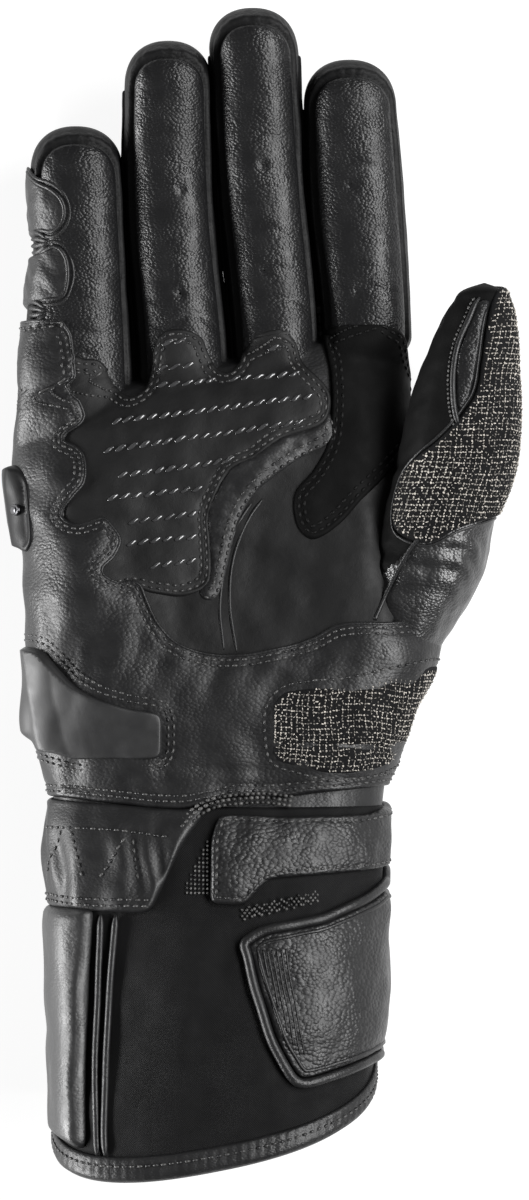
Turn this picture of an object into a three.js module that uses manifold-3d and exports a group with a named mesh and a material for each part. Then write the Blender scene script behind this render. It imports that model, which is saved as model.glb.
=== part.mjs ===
// A right-hand motorcycle glove with a long cuff, lying on its back with the palm up.
// Millimetres. +Y runs from the cuff to the fingertips, +X towards the thumb, +Z from the back to the palm.
import * as THREE from "three";
import { mergeVertices } from "three/addons/utils/BufferGeometryUtils.js";
import Module from "manifold-3d";

const wasm = await Module();
wasm.setup();

// The hand, measured over the leather
const PALM_WIDTH = 112; // across the palm below the fingers
const PALM_LENGTH = 112; // wrist crease to the little finger's knuckle
const PALM_DEPTH = 50; // back to palm at the heel of the hand
const KNUCKLE_SLOPE = 0.23; // rise of the knuckle line for each millimetre towards the thumb
const LITTLE_LENGTH = 77;
const RING_LENGTH = 93.6;
const MIDDLE_LENGTH = 96.7;
const INDEX_LENGTH = 76.5;
const FINGER_DEPTH = 26;
const FINGER_CURL = 13; // how far the fingertips lift off the surface
const THUMB_LENGTH = 94;
const THUMB_WIDTH = 32;
const THUMB_DEPTH = 34;
const THUMB_LIFT = 16; // how far the thumb's tip stands above its root

// The cuff
const CUFF_WIDTH = 98;
const CUFF_LENGTH = 101; // wrist crease to the hem, along the palm side
const CUFF_DEPTH = 58;
const HEM_SLOPE = 0.19; // the hem climbs towards the thumb side
const HEM_LEAN = 0.45; // and is cut back towards the back of the hand
const HEM_HEIGHT = 5.6; // width of the binding round the opening

// Leathers and trims
const WALL = 2; // leather with its lining
const SEAM_GAP = 0.3; // between neighbouring pieces
const OVERLAY = 1.2; // leather sewn on top of the shell
const FOURCHETTE_HEIGHT = 12; // strip between two fingers
const TIP_WRAP = 5; // how far the back leather folds over each fingertip
const STRAP_THICKNESS = 2;
const BINDING_THICKNESS = 3; // rolled edge of the cuff strap
const BINDING_WIDTH = 3.2;
const WELT_WIDTH = 1.7;
const WELT_HEIGHT = 1.7;
const WRIST_PANEL_THICKNESS = 2;
const SIDE_PAD_THICKNESS = 4.6;
const SLIDER_THICKNESS = 1.5; // flat tail of the moulded slider
const SLIDER_BULGE = 4; // and its thick end round the edge of the hand
const EDGE_SLIDER_THICKNESS = 2.4;
const RIVET_RADIUS = 1.5;
const RIVET_HEIGHT = 1;
const VENT_RADIUS = 0.7; // small air holes in the fingers

// Surface divisions
const BODY_SIDES = 18;
const FINGER_SIDES = 12;
const DOME_STEPS = 3;
const OUTLINE_STEP = 6.5; // length of a straight piece of a curved outline
const REACH = 400; // longer than the glove, for cutting tools

// Hand and cuff, from the hem to the knuckles. "along" is a share of the cuff's or palm's length, left and right
// are shares of its width, back and palm of its depth. "rest" is the height of the flattened underside in overlays.
const CUFF_ROWS = [
  { along: 1, left: -0.463, right: 0.44, back: -0.05, palm: 0.98, slope: 1, lean: 1, cup: 0, rest: 1 },
  { along: 0.6, left: -0.463, right: 0.466, back: -0.05, palm: 0.96, slope: 0.5, lean: 0.45, cup: 0, rest: 1 },
  { along: 0.3, left: -0.475, right: 0.466, back: -0.01, palm: 0.9, slope: 0.15, lean: 0.15, cup: 0, rest: 1 },
  { along: 0.09, left: -0.482, right: 0.47, back: 0.06, palm: 0.83, slope: 0, lean: 0, cup: 0, rest: 1 },
];
const PALM_ROWS = [
  { along: 0, left: -0.41, right: 0.415, back: 0.09, palm: 0.92, slope: 0, cup: 0.02, rest: 1 },
  { along: 0.26, left: -0.455, right: 0.492, back: 0.06, palm: 0.98, slope: 0, cup: 0.08, rest: 0.8 },
  { along: 0.38, left: -0.465, right: 0.55, back: 0.03, palm: 0.98, slope: 0, cup: 0.12, rest: 0.5 },
  { along: 0.5, left: -0.47, right: 0.53, back: -0.01, palm: 0.95, slope: 0, cup: 0.15, rest: 0.2 },
  { along: 0.63, left: -0.478, right: 0.5, back: -0.04, palm: 0.88, slope: 0.2, cup: 0.14, rest: 0 },
  { along: 0.81, left: -0.497, right: 0.48, back: -0.05, palm: 0.77, slope: 0.6, cup: 0.08, rest: 0 },
  { along: 1, left: -0.5, right: 0.477, back: -0.04, palm: 0.63, slope: 1, cup: 0.02, rest: 0 },
  { along: 1.09, left: -0.492, right: 0.478, back: -0.01, palm: 0.52, slope: 1, cup: 0, rest: 0 },
];
const REST_HEIGHT = SEAM_GAP + OVERLAY; // the cuff lies on its hem binding, so its own leather is held this high

// Fingers. Centres and widths are shares of the palm's width at the root, the middle joint and below the tip.
const FINGERS = [
  {
    name: "little",
    length: LITTLE_LENGTH,
    ...{ root: -0.362, joint: -0.35, tip: -0.359 },
    ...{ rootWide: 0.296, jointWide: 0.238, tipWide: 0.232 },
  },
  {
    name: "ring",
    length: RING_LENGTH,
    ...{ root: -0.089, joint: -0.122, tip: -0.126 },
    ...{ rootWide: 0.236, jointWide: 0.226, tipWide: 0.216 },
  },
  {
    name: "middle",
    length: MIDDLE_LENGTH,
    ...{ root: 0.146, joint: 0.107, tip: 0.086 },
    ...{ rootWide: 0.224, jointWide: 0.221, tipWide: 0.222 },
  },
  {
    name: "index",
    length: INDEX_LENGTH,
    ...{ root: 0.373, joint: 0.345, tip: 0.329 },
    ...{ rootWide: 0.232, jointWide: 0.244, tipWide: 0.23 },
  },
];
const ROOT_DEPTH = 1.03;
const TIP_DEPTH = 0.9;

// Thumb. "along" is a share of its length, across and width are shares of its width, depth and lift of theirs.
const THUMB_ROOT_ACROSS = 0.4775; // share of the palm's width
const THUMB_ROOT_ALONG = 0.45; // share of the palm's length
const THUMB_ROOT_HEIGHT = 0.52; // share of the palm's depth
const THUMB_ROWS = [
  { along: -0.11, across: -0.09, width: 0.62, depth: 0.75, lift: 0 },
  { along: 0, across: 0, width: 0.86, depth: 0.94, lift: 0 },
  { along: 0.12, across: 0.12, width: 1.02, depth: 1, lift: 0.1 },
  { along: 0.28, across: 0.245, width: 1.02, depth: 0.99, lift: 0.3 },
  { along: 0.44, across: 0.37, width: 1.01, depth: 0.91, lift: 0.5 },
  { along: 0.6, across: 0.445, width: 0.95, depth: 0.83, lift: 0.66 },
  { along: 0.74, across: 0.5, width: 0.82, depth: 0.72, lift: 0.8 },
  { along: 0.86, across: 0.56, width: 0.6, depth: 0.56, lift: 0.91 },
  { along: 0.94, across: 0.615, width: 0.38, depth: 0.38, lift: 0.96 },
  { along: 0.99, across: 0.67, width: 0.14, depth: 0.14, lift: 1 },
];

// Closed three.js geometry as a solid that can be joined and cut.
function solidOf(geometry) {
  const bare = geometry.index ? geometry.toNonIndexed() : geometry.clone();
  const merged = mergeVertices(new THREE.BufferGeometry().setAttribute("position", bare.getAttribute("position")), 1e-4);
  return new wasm.Manifold(
    new wasm.Mesh({
      numProp: 3,
      vertProperties: merged.attributes.position.array,
      triVerts: new Uint32Array(merged.index.array),
    }),
  );
}

function geometryOf(solid) {
  const mesh = solid.getMesh();
  return new THREE.BufferGeometry()
    .setAttribute("position", new THREE.BufferAttribute(new Float32Array(mesh.vertProperties), 3))
    .setIndex(new THREE.BufferAttribute(new Uint32Array(mesh.triVerts), 1));
}

// The largest body of a cut solid, without the crumbs that a cut along a curved wall leaves.
function mainBody(solid) {
  return solid.decompose().reduce((best, body) => (body.volume() > best.volume() ? body : best));
}

const power = (value, exponent) => Math.sign(value) * Math.abs(value) ** exponent;

// One closed section: a squarish oval lying across the glove, cupped on the palm side and flat underneath.
function section(row, grow, sides) {
  const halfWidth = (row.right - row.left) / 2 + grow;
  const halfDepth = (row.palm - row.back) / 2 + grow;
  const centre = (row.right + row.left) / 2;
  const middle = (row.palm + row.back) / 2;
  const lowest = Math.max(0, (row.rest ?? 0) - grow);
  return Array.from({ length: sides }, (_, i) => {
    const turn = (2 * Math.PI * i) / sides;
    const [across, up] = [Math.cos(turn), Math.sin(turn)];
    const exponent = 2 / (up > 0 ? row.roundPalm : row.roundBack);
    const x = centre + halfWidth * power(across, exponent);
    const dip = (row.cup ?? 0) * Math.max(0, up) ** 2 * Math.max(0, 1 - across * across * 2);
    const z = Math.max(lowest, middle + halfDepth * power(up, exponent) - dip);
    return new THREE.Vector3(x, row.y + (row.slope ?? 0) * x + (row.lean ?? 0) * (row.palm - z), z);
  });
}

// A closed skin through rows of sections, with a fan over each end.
function loft(rows, grow, sides) {
  const rings = rows.map((row) => section(row, grow, sides));
  const position = [];
  const quad = (a, b, c, d) => [a, b, c, a, c, d].forEach((p) => position.push(p.x, p.y, p.z));
  const fan = (ring, outwards) => {
    const hub = ring.reduce((sum, p) => sum.add(p), new THREE.Vector3()).divideScalar(ring.length);
    ring.forEach((p, i) => {
      const next = ring[(i + 1) % ring.length];
      (outwards ? [hub, next, p] : [hub, p, next]).forEach((q) => position.push(q.x, q.y, q.z));
    });
  };
  rings.slice(1).forEach((ring, r) => {
    const before = rings[r];
    before.forEach((p, i) => {
      const j = (i + 1) % sides;
      quad(p, ring[i], ring[j], before[j]);
    });
  });
  fan(rings[0], false);
  fan(rings.at(-1), true);
  const geometry = new THREE.BufferGeometry();
  geometry.setAttribute("position", new THREE.BufferAttribute(new Float32Array(position), 3));
  return solidOf(geometry);
}

const knuckleY = (x) => PALM_ROWS.at(-1).along * PALM_LENGTH + KNUCKLE_SLOPE * x;

// Height of the fingers' centre line, which curls up towards the tips.
function fingerHeight(y) {
  const share = THREE.MathUtils.clamp((y - knuckleY(0)) / MIDDLE_LENGTH, 0, 1);
  return FINGER_DEPTH * (ROOT_DEPTH / 2 + 0.03) + FINGER_CURL * share ** 1.6;
}

function bodyRows(grow) {
  const cuff = CUFF_ROWS.map((row) => ({
    ...row,
    y: -row.along * CUFF_LENGTH,
    left: row.left * CUFF_WIDTH,
    right: row.right * CUFF_WIDTH,
    back: row.back * CUFF_DEPTH,
    palm: row.palm * CUFF_DEPTH,
    slope: row.slope * HEM_SLOPE,
    lean: row.lean * HEM_LEAN,
    rest: row.rest * REST_HEIGHT,
    cup: 0,
    roundPalm: 2.4,
    roundBack: 2.9,
  }));
  const palm = PALM_ROWS.map((row, i) => ({
    y: row.along * PALM_LENGTH + (i === PALM_ROWS.length - 1 ? grow : 0),
    left: row.left * PALM_WIDTH,
    right: row.right * PALM_WIDTH,
    back: row.back * PALM_DEPTH,
    palm: row.palm * PALM_DEPTH,
    slope: row.slope * KNUCKLE_SLOPE,
    lean: 0,
    rest: row.rest * REST_HEIGHT,
    cup: row.cup * PALM_DEPTH,
    roundPalm: 2.4,
    roundBack: 2.7,
  }));
  // The inside runs on past the hem, so that the cuff is open.
  const mouth = { ...cuff[0], y: cuff[0].y - (grow < 0 ? CUFF_LENGTH / 4 : 0) };
  return [mouth, ...cuff.slice(grow < 0 ? 0 : 1), ...palm];
}

// A finger's centre, width and depth at a share of its length from the knuckle line.
function fingerAt(finger, share) {
  const half = share < 0.5;
  const mix = half ? Math.max(0, share) * 2 : Math.min(1, share * 2 - 1);
  const from = half ? [finger.root, finger.rootWide] : [finger.joint, finger.jointWide];
  const to = half ? [finger.joint, finger.jointWide] : [finger.tip, finger.tipWide];
  const x = THREE.MathUtils.lerp(from[0], to[0], mix) * PALM_WIDTH;
  const y = knuckleY(finger.root * PALM_WIDTH) + share * finger.length;
  return {
    x,
    y,
    z: fingerHeight(y),
    width: THREE.MathUtils.lerp(from[1], to[1], mix) * PALM_WIDTH,
    depth: FINGER_DEPTH * THREE.MathUtils.lerp(ROOT_DEPTH, TIP_DEPTH, THREE.MathUtils.clamp(share, 0, 1)),
  };
}

function fingerRow({ x, y, z, width, depth }, swell) {
  return {
    y,
    left: x - (width / 2) * swell,
    right: x + (width / 2) * swell,
    back: z - (depth / 2) * swell,
    palm: z + (depth / 2) * swell,
    roundPalm: 2.25,
    roundBack: 2.25,
  };
}

// A finger from inside the palm to its rounded tip.
function fingerRows(finger, grow) {
  const dome = (finger.tipWide * PALM_WIDTH) / 2;
  const start = 1 - dome / finger.length;
  const shaft = [0, 0.35, start].map((share) => fingerRow(fingerAt(finger, share), 1));
  const hidden = fingerRow(fingerAt(finger, 0), 0.9);
  hidden.y -= PALM_LENGTH * 0.1;
  const tip = Array.from({ length: DOME_STEPS }, (_, i) => {
    const turn = ((i + 1) / (DOME_STEPS + 0.35)) * (Math.PI / 2);
    const at = fingerAt(finger, start + (Math.sin(turn) * (dome + grow)) / finger.length);
    const row = fingerRow(at, Math.cos(turn) + 0.001);
    const shrink = grow * (1 - Math.cos(turn));
    return { ...row, left: row.left + shrink, right: row.right - shrink, back: row.back + shrink, palm: row.palm - shrink };
  });
  return [hidden, ...shaft, ...tip];
}

// A point of the thumb's plan: across from its root in its own widths, along in its own lengths.
const thumbPlace = (across, along) => [
  THUMB_ROOT_ACROSS * PALM_WIDTH + across * THUMB_WIDTH,
  THUMB_ROOT_ALONG * PALM_LENGTH + along * THUMB_LENGTH,
];

function thumbRows(grow) {
  return THUMB_ROWS.map((row, i) => {
    const [x, y] = thumbPlace(row.across, row.along);
    const z = THUMB_ROOT_HEIGHT * PALM_DEPTH + row.lift * THUMB_LIFT;
    const [halfWidth, halfDepth] = [(row.width * THUMB_WIDTH) / 2, (row.depth * THUMB_DEPTH) / 2];
    const past = i === THUMB_ROWS.length - 1 ? grow : 0;
    const shrink = Math.max(0, WALL / 5 - grow - Math.min(halfWidth, halfDepth));
    return {
      y: y + past,
      left: x - halfWidth - shrink,
      right: x + halfWidth + shrink,
      back: z - halfDepth - shrink,
      palm: z + halfDepth + shrink,
      roundPalm: 2.3,
      roundBack: 2.3,
    };
  });
}

// The whole hand and cuff as one solid, grown outwards by a distance, or shrunk inwards to make the hollow.
const grown = new Map();
function form(grow) {
  if (!grown.has(grow)) {
    const fingers = FINGERS.map((finger) => loft(fingerRows(finger, grow), grow, FINGER_SIDES));
    const whole = [loft(thumbRows(grow), grow, FINGER_SIDES), ...fingers].reduce(
      (sum, part) => sum.add(part),
      loft(bodyRows(grow), grow, BODY_SIDES),
    );
    grown.set(grow, whole);
  }
  return grown.get(grow);
}
const coat = (from, to) => form(to).subtract(form(from));

// Outlines in plan. Curved ones run as a closed spline through their points, others as straight lines.
const palmPlace = (across, along) => [(across * PALM_WIDTH) / 100, (along * PALM_LENGTH) / 100];
const cuffPlace = (across, along) => [(across * CUFF_WIDTH) / 100, (-along * CUFF_LENGTH) / 100];
const palmOutline = (points) => points.map((p) => palmPlace(...p));
const cuffOutline = (points) => points.map((p) => cuffPlace(...p));

function curved(points) {
  const curve = new THREE.CatmullRomCurve3(points.map(([x, y]) => new THREE.Vector3(x, y, 0)), true, "centripetal");
  const pieces = Math.max(points.length, Math.round(curve.getLength() / OUTLINE_STEP));
  return curve.getSpacedPoints(pieces).slice(0, -1).map((p) => [p.x, p.y]);
}

// Moves each edge of an outline outwards, so that a neighbour can be cut back with a clearance.
function widened(points, by) {
  const turn = THREE.ShapeUtils.area(points.map(([x, y]) => new THREE.Vector2(x, y))) > 0 ? 1 : -1;
  const side = ([x0, y0], [x1, y1]) => new THREE.Vector2(y1 - y0, x0 - x1).normalize().multiplyScalar(turn);
  return points.map((point, i) => {
    const before = side(points.at(i - 1), point);
    const after = side(point, points[(i + 1) % points.length]);
    const corner = before.clone().add(after).divideScalar(Math.max(0.4, 1 + before.dot(after)));
    return [point[0] + corner.x * by, point[1] + corner.y * by];
  });
}

// An upright block over an outline, from one height to another.
function block(points, low = -REACH, high = REACH) {
  const shape = new THREE.Shape(points.map(([x, y]) => new THREE.Vector2(x, y)));
  const geometry = new THREE.ExtrudeGeometry(shape, { depth: high - low, bevelEnabled: false });
  return solidOf(geometry.translate(0, 0, low));
}

// A block that runs right across the glove, over an outline drawn in side view.
function crossBlock(points) {
  const shape = new THREE.Shape(points.map(([y, z]) => new THREE.Vector2(y, z)));
  const geometry = new THREE.ExtrudeGeometry(shape, { depth: REACH, bevelEnabled: false });
  geometry.translate(0, 0, -REACH / 2);
  const sideways = new THREE.Matrix4().makeBasis(
    new THREE.Vector3(0, 1, 0),
    new THREE.Vector3(0, 0, 1),
    new THREE.Vector3(1, 0, 0),
  );
  return solidOf(geometry.applyMatrix4(sideways));
}

// The seam between palm and back, in side view: low along the palm, high on the fingers.
const fingerZone = [0, 0.2, 0.4, 0.6, 0.8, 1, 1.15];
const seamLine = [
  [-REACH, PALM_DEPTH * 0.42],
  [0, PALM_DEPTH * 0.42],
  [PALM_LENGTH * 0.45, PALM_DEPTH * 0.38],
  [PALM_LENGTH * 0.85, PALM_DEPTH * 0.34],
  ...fingerZone.map((share) => {
    const y = knuckleY(0) + share * MIDDLE_LENGTH;
    return [y, fingerHeight(y) + FINGER_DEPTH * 0.24];
  }),
];
const seamEnd = REACH;
function aboveSeam(drop = 0) {
  const last = seamLine.at(-1);
  return crossBlock([
    ...seamLine.map(([y, z]) => [y, z - drop]),
    [seamEnd, last[1] - drop],
    [seamEnd, REACH],
    [-REACH, REACH],
  ]);
}
function underSeam(height, drop = 0) {
  const line = seamLine.slice(3);
  return crossBlock([
    ...line.map(([y, z]) => [y, z - height - drop]),
    ...line.toReversed().map(([y, z]) => [y, z + drop]),
  ]);
}

// Plan of the palm leather: everything below the fingers, and each finger up to where the back folds over its tip.
function palmLeatherPlan(grow) {
  const fingers = FINGERS.map((finger) => {
    const end = fingerAt(finger, 1 - TIP_WRAP / finger.length);
    const root = fingerAt(finger, 0);
    const radius = root.width / 2;
    const arc = Array.from({ length: 7 }, (_, i) => {
      const turn = (Math.PI * i) / 6;
      return [end.x + (radius + grow) * Math.cos(turn), end.y - radius * 0.8 + (radius * 0.8 + grow) * Math.sin(turn)];
    });
    const low = knuckleY(root.x) - PALM_LENGTH * 0.2;
    return block([[root.x - radius - grow, low], [root.x + radius + grow, low], ...arc]);
  });
  const reach = PALM_WIDTH;
  const hand = block([
    [-reach, -REACH / 2],
    [reach, -REACH / 2],
    [reach, knuckleY(reach) + WALL / 2],
    [-reach, knuckleY(-reach) + WALL / 2],
  ]);
  return fingers.reduce((sum, part) => sum.add(part), hand);
}

// Plan of the strip that joins the sides of two neighbouring fingers.
function fourchettePlan(one, other, grow) {
  const [left, right] = [one, other].map((finger) => ({
    low: fingerAt(finger, -0.06),
    high: fingerAt(finger, 1 - (2.2 * TIP_WRAP) / finger.length),
  }));
  return block([
    [left.low.x + SEAM_GAP - grow, left.low.y - grow],
    [right.low.x - SEAM_GAP + grow, right.low.y - grow],
    [right.high.x - SEAM_GAP + grow, right.high.y + grow],
    [left.high.x + SEAM_GAP - grow, left.high.y + grow],
  ]);
}

// Where the thumb's own leather starts.
const thumbPlan = palmOutline([
  [49, 110],
  [48.2, 99],
  [45.5, 93],
  [44.5, 82],
  [44, 67.5],
  [49, 63.3],
  [42, 50],
  [39, 44.6],
  [90, 44.6],
  [90, 140],
  [52, 140],
]);

const shell = form(0).subtract(form(-WALL));
const wristY = -PALM_LENGTH * 0.02;
const box = (x0, x1, y0, y1, z0 = -REACH, z1 = REACH) => block([[x0, y0], [x1, y0], [x1, y1], [x0, y1]], z0, z1);
const beyondWrist = (gap) => box(-REACH, REACH, -REACH, wristY + gap);
const handShell = shell.subtract(beyondWrist(SEAM_GAP));
const thumbShell = handShell.intersect(block(thumbPlan));
const fourFingers = handShell.subtract(block(widened(thumbPlan, SEAM_GAP)));

// Everything past the hem, less a margin measured up the cuff from its end.
const hemTop = CUFF_ROWS[0].palm * CUFF_DEPTH;
function pastHem(margin) {
  const lean = new THREE.Matrix4().makeShear(HEM_SLOPE, 0, 0, 0, 0, -HEM_LEAN);
  const slab = new THREE.BoxGeometry(REACH, REACH, REACH).translate(0, -REACH / 2, 0).applyMatrix4(lean);
  return solidOf(slab.translate(0, margin - CUFF_LENGTH + HEM_LEAN * hemTop, 0));
}

// Vent holes, two on each of the three longer fingers.
const vents = FINGERS.slice(1).flatMap((finger) =>
  [0.24, 0.58].map((share) => {
    const at = fingerAt(finger, share);
    const pin = new THREE.CylinderGeometry(VENT_RADIUS, VENT_RADIUS, FINGER_DEPTH, 6).rotateX(Math.PI / 2);
    return solidOf(pin.translate(at.x + at.width * 0.04, at.y, at.z + FINGER_DEPTH / 2));
  }),
);

const fourchettePairs = FINGERS.slice(1).map((finger, i) => [FINGERS[i], finger]);
const palmCutter = (grow) => aboveSeam(grow).intersect(palmLeatherPlan(grow));
const fourchetteCutter = (pair, grow) => underSeam(FOURCHETTE_HEIGHT, grow).intersect(fourchettePlan(...pair, grow));

// Everything beyond the seam round the roots of the fingers.
function beyondKnuckles(gap) {
  const line = (x) => knuckleY(x) + WALL + gap;
  return block([[-PALM_WIDTH, line(-PALM_WIDTH)], [PALM_WIDTH, line(PALM_WIDTH)], [PALM_WIDTH, REACH], [-PALM_WIDTH, REACH]]);
}

// The ground that belongs to one finger, halfway to its neighbours.
function fingerPlan(index) {
  const border = (step, share) => {
    const finger = FINGERS[index];
    const here = fingerAt(finger, share);
    const other = FINGERS[index + step];
    if (!other) return [here.x + step * here.width, here.y];
    const there = fingerAt(other, (here.y - fingerAt(other, 0).y) / other.length);
    const edge = (here.x + (step * here.width) / 2 + there.x - (step * there.width) / 2) / 2;
    return [edge - (step * SEAM_GAP) / 2, here.y];
  };
  const shares = [-0.2, 0, 0.5, 1.2];
  return block([...shares.map((share) => border(1, share)), ...shares.toReversed().map((share) => border(-1, share))]);
}

const solids = {};
const front = vents.reduce((sum, vent) => sum.subtract(vent), fourFingers.intersect(palmCutter(0)));
const sides = fourFingers.subtract(palmCutter(SEAM_GAP));
const back = fourchettePairs.reduce((sum, pair) => sum.subtract(fourchetteCutter(pair, SEAM_GAP)), sides);
solids.palm_leather = front.subtract(beyondKnuckles(0));
solids.back_leather = back.subtract(beyondKnuckles(0));
FINGERS.forEach((finger, i) => {
  const own = fingerPlan(i).intersect(beyondKnuckles(SEAM_GAP));
  solids[`${finger.name}_front`] = front.intersect(own);
  solids[`${finger.name}_back`] = back.intersect(own);
});
for (const pair of fourchettePairs)
  solids[`fourchette_${pair[0].name}_${pair[1].name}`] = sides.intersect(fourchetteCutter(pair, 0));
solids.thumb_leather = thumbShell;

// Cuff shell, split along its sides, and the binding that closes its edge
const cuffShell = shell.intersect(beyondWrist(0)).subtract(pastHem(HEM_HEIGHT / 3 + SEAM_GAP));
solids.cuff_front = cuffShell.intersect(aboveSeam());
solids.cuff_back = cuffShell.subtract(aboveSeam(SEAM_GAP));
const hemBand = coat(-WALL, SEAM_GAP + OVERLAY).intersect(pastHem(HEM_HEIGHT));
const underBinding = form(SEAM_GAP).subtract(pastHem(HEM_HEIGHT / 3));
solids.cuff_hem_binding = hemBand.subtract(underBinding);

const aboveBinding = pastHem(HEM_HEIGHT + SEAM_GAP);

// A piece of leather or rubber sewn over the shell, thick enough to reach "to" and cut back from its neighbours.
function applique(points, { from = SEAM_GAP, to = SEAM_GAP + OVERLAY, low = 0, clear = [] } = {}) {
  const cut = coat(from, to).intersect(block(points, low)).subtract(aboveBinding);
  return clear.reduce((sum, other) => sum.subtract(block(widened(other, SEAM_GAP))), cut);
}

// Lobes of the outer leather over the palm. top, bottom, notch and reach are in hundredths of the palm's size.
const LOBES = [
  { top: 120, bottom: 91, notch: -41, reach: -33.5 },
  { top: 87, bottom: 69, notch: -39.5, reach: -31.5 },
  { top: 69, bottom: 56, notch: -36, reach: -25 },
];
const lobePoints = LOBES.flatMap(({ top, bottom, notch, reach }) =>
  [0, 0.2, 0.5, 0.8, 1].map((share) => [
    notch + (reach - notch) * Math.sin(Math.PI * share) ** 0.6,
    top + (bottom - top) * share,
  ]),
);
const heelPlan = curved(
  palmOutline([
    [-62, 122],
    [-46, 122.5],
    ...lobePoints,
    [-19, 54.5],
    [-16, 48.5],
    [-10.5, 41.5],
    [-2, 37.8],
    [7, 37],
    [20, 40],
    [32, 44],
    [46, 45.3],
    [72, 45.4],
    [72, 4],
    [46, 3.4],
    [28, 2.6],
    [8, 1],
    [-7, -1.2],
    [-40, 1],
    [-62, 1.4],
  ]),
);
const gripPlan = curved(
  palmOutline([
    [-39, 114], [-29.5, 111], [-25.5, 105], [-22, 100.8], [-18, 104], [-15.8, 113.5], [-11.5, 117.3], [-5, 117],
    [-1.3, 111.5], [3, 107.3], [7.5, 110.8], [11.8, 115.3], [22.5, 116.3], [28, 112], [29, 101], [27.5, 94.6],
    [11.5, 88.3], [-0.5, 77.8], [-3.5, 61], [-6.5, 53.5], [-18, 52.6], [-31, 54], [-42, 62], [-43, 90],
  ]),
);
const crescentPlan = curved(
  palmOutline([
    [28.5, 94], [11.5, 87.3], [0.2, 77.2], [-2.5, 61], [-4.5, 53], [-1, 42], [-0.6, 39], [5.2, 38], [5, 52.5],
    [6.2, 64], [13.8, 78.2], [25, 86.8], [28.5, 89.5],
  ]),
);
const indexPlan = curved(
  palmOutline([
    [28.4, 117], [32, 120], [41.5, 120.2], [44.4, 117], [46, 104], [47, 93], [42.8, 83], [31, 70.2], [24.4, 66],
    [20.8, 70], [21.3, 78], [26.8, 88], [29.7, 98], [29.6, 108],
  ]),
);
const insetPlan = curved(
  palmOutline([
    [27, 91], [12.5, 82.5], [2.5, 70], [1, 52.5], [2, 34], [20, 35], [40, 42], [42, 50], [47, 61], [43.5, 66],
    [43, 80], [46, 89],
  ]),
);
const heelGripPlan = curved(
  palmOutline([
    [13.5, 25], [17, 27.6], [30, 28.6], [42, 32.4], [52, 34.5], [62, 33], [56, 12], [44, 6.5], [34, 5.6],
    [22, 8], [14.6, 12.4],
  ]),
);
const thumbGripPlan = curved(
  [
    [0.8, 1.02], [0.7, 0.91], [0.635, 0.8], [0.59, 0.7], [0.5, 0.635], [0.37, 0.575], [0.17, 0.525], [0, 0.46],
    [-0.09, 0.37], [-0.13, 0.285], [-0.08, 0.24], [0.08, 0.228], [0.3, 0.25], [0.73, 0.33], [1.3, 0.4], [1.3, 1],
  ].map((p) => thumbPlace(...p)),
);
const thumbStripPlan = curved(
  [
    [0.58, 0.94], [0.46, 0.87], [0.39, 0.78], [0.375, 0.67], [0.41, 0.62], [0.47, 0.63], [0.55, 0.69],
    [0.6, 0.78], [0.65, 0.88], [0.68, 0.94],
  ].map((p) => thumbPlace(...p)),
);
const outerLow = PALM_DEPTH * 0.16;
const thumbLow = THUMB_ROOT_HEIGHT * PALM_DEPTH * 0.7;

solids.heel_leather = applique(heelPlan, { low: outerLow, clear: [thumbPlan, heelGripPlan] });
solids.palm_grip_patch = applique(gripPlan, { low: PALM_DEPTH * 0.3, clear: [heelPlan, indexPlan, crescentPlan] });
solids.palm_crescent = applique(crescentPlan, { low: PALM_DEPTH * 0.3, clear: [heelPlan, indexPlan] });
solids.palm_inset = applique(insetPlan, {
  low: PALM_DEPTH * 0.3,
  to: SEAM_GAP + OVERLAY / 2,
  clear: [heelPlan, crescentPlan, indexPlan, thumbPlan],
});
solids.index_patch = applique(indexPlan, { low: PALM_DEPTH * 0.46, clear: [thumbPlan] });
solids.heel_grip_panel = applique(heelGripPlan, { low: outerLow });
solids.thumb_grip_panel = applique(thumbGripPlan, { low: thumbLow });
solids.thumb_side_strip = applique(thumbStripPlan, { low: PALM_DEPTH * 0.8, clear: [thumbGripPlan] });

// Scallops of stretch leather down the outer side of the little finger, in shares of its own width and length
const SCALLOPS = [
  { name: "upper", top: 0.83, bottom: 0.6, reach: -0.12 },
  { name: "lower", top: 0.56, bottom: 0.34, reach: -0.13 },
];
for (const scallop of SCALLOPS) {
  const lobe = [0, 0.15, 0.35, 0.65, 0.85, 1].map((share) => {
    const at = fingerAt(FINGERS[0], THREE.MathUtils.lerp(scallop.top, scallop.bottom, share));
    const notch = -0.36;
    const across = notch + (scallop.reach - notch) * Math.sin(Math.PI * share) ** 0.6;
    return [at.x + across * at.width, at.y];
  });
  const outer = lobe[0][0] - PALM_WIDTH * 0.2;
  const plan = [...lobe, [outer, lobe.at(-1)[1]], [outer, lobe[0][1]]];
  const low = fingerHeight(lobe[3][1]) - FINGER_DEPTH * 0.3;
  solids[`little_scallop_${scallop.name}`] = applique(plan, { low, clear: [heelPlan] });
}

// Moulded slider at the heel: a thin tail with a thick end that wraps round the edge of the hand
const sliderFoot = 2 * SEAM_GAP + OVERLAY;
const sliderPlan = palmOutline([
  [-60, 39.5], [-44, 39.8], [-41, 37.5], [-38.5, 33.2], [-34, 28.6], [-27, 25], [-16, 22.8], [-14, 21.6],
  [-13.2, 12.6], [-14.6, 10.9], [-36, 11], [-40, 12.4], [-45, 15], [-60, 18],
]);
const sliderEnd = palmOutline([
  [-60, 39.5], [-44, 39.8], [-41, 37.5], [-38.5, 30], [-37, 20], [-37.5, 12], [-40, 12.4], [-45, 15], [-60, 18],
]);
const sliderTail = applique(sliderPlan, { from: sliderFoot, to: sliderFoot + SLIDER_THICKNESS, low: outerLow });
const sliderBulge = applique(sliderEnd, { from: sliderFoot, to: sliderFoot + SLIDER_BULGE, low: outerLow });
solids.palm_slider = sliderTail.add(sliderBulge);

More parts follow.
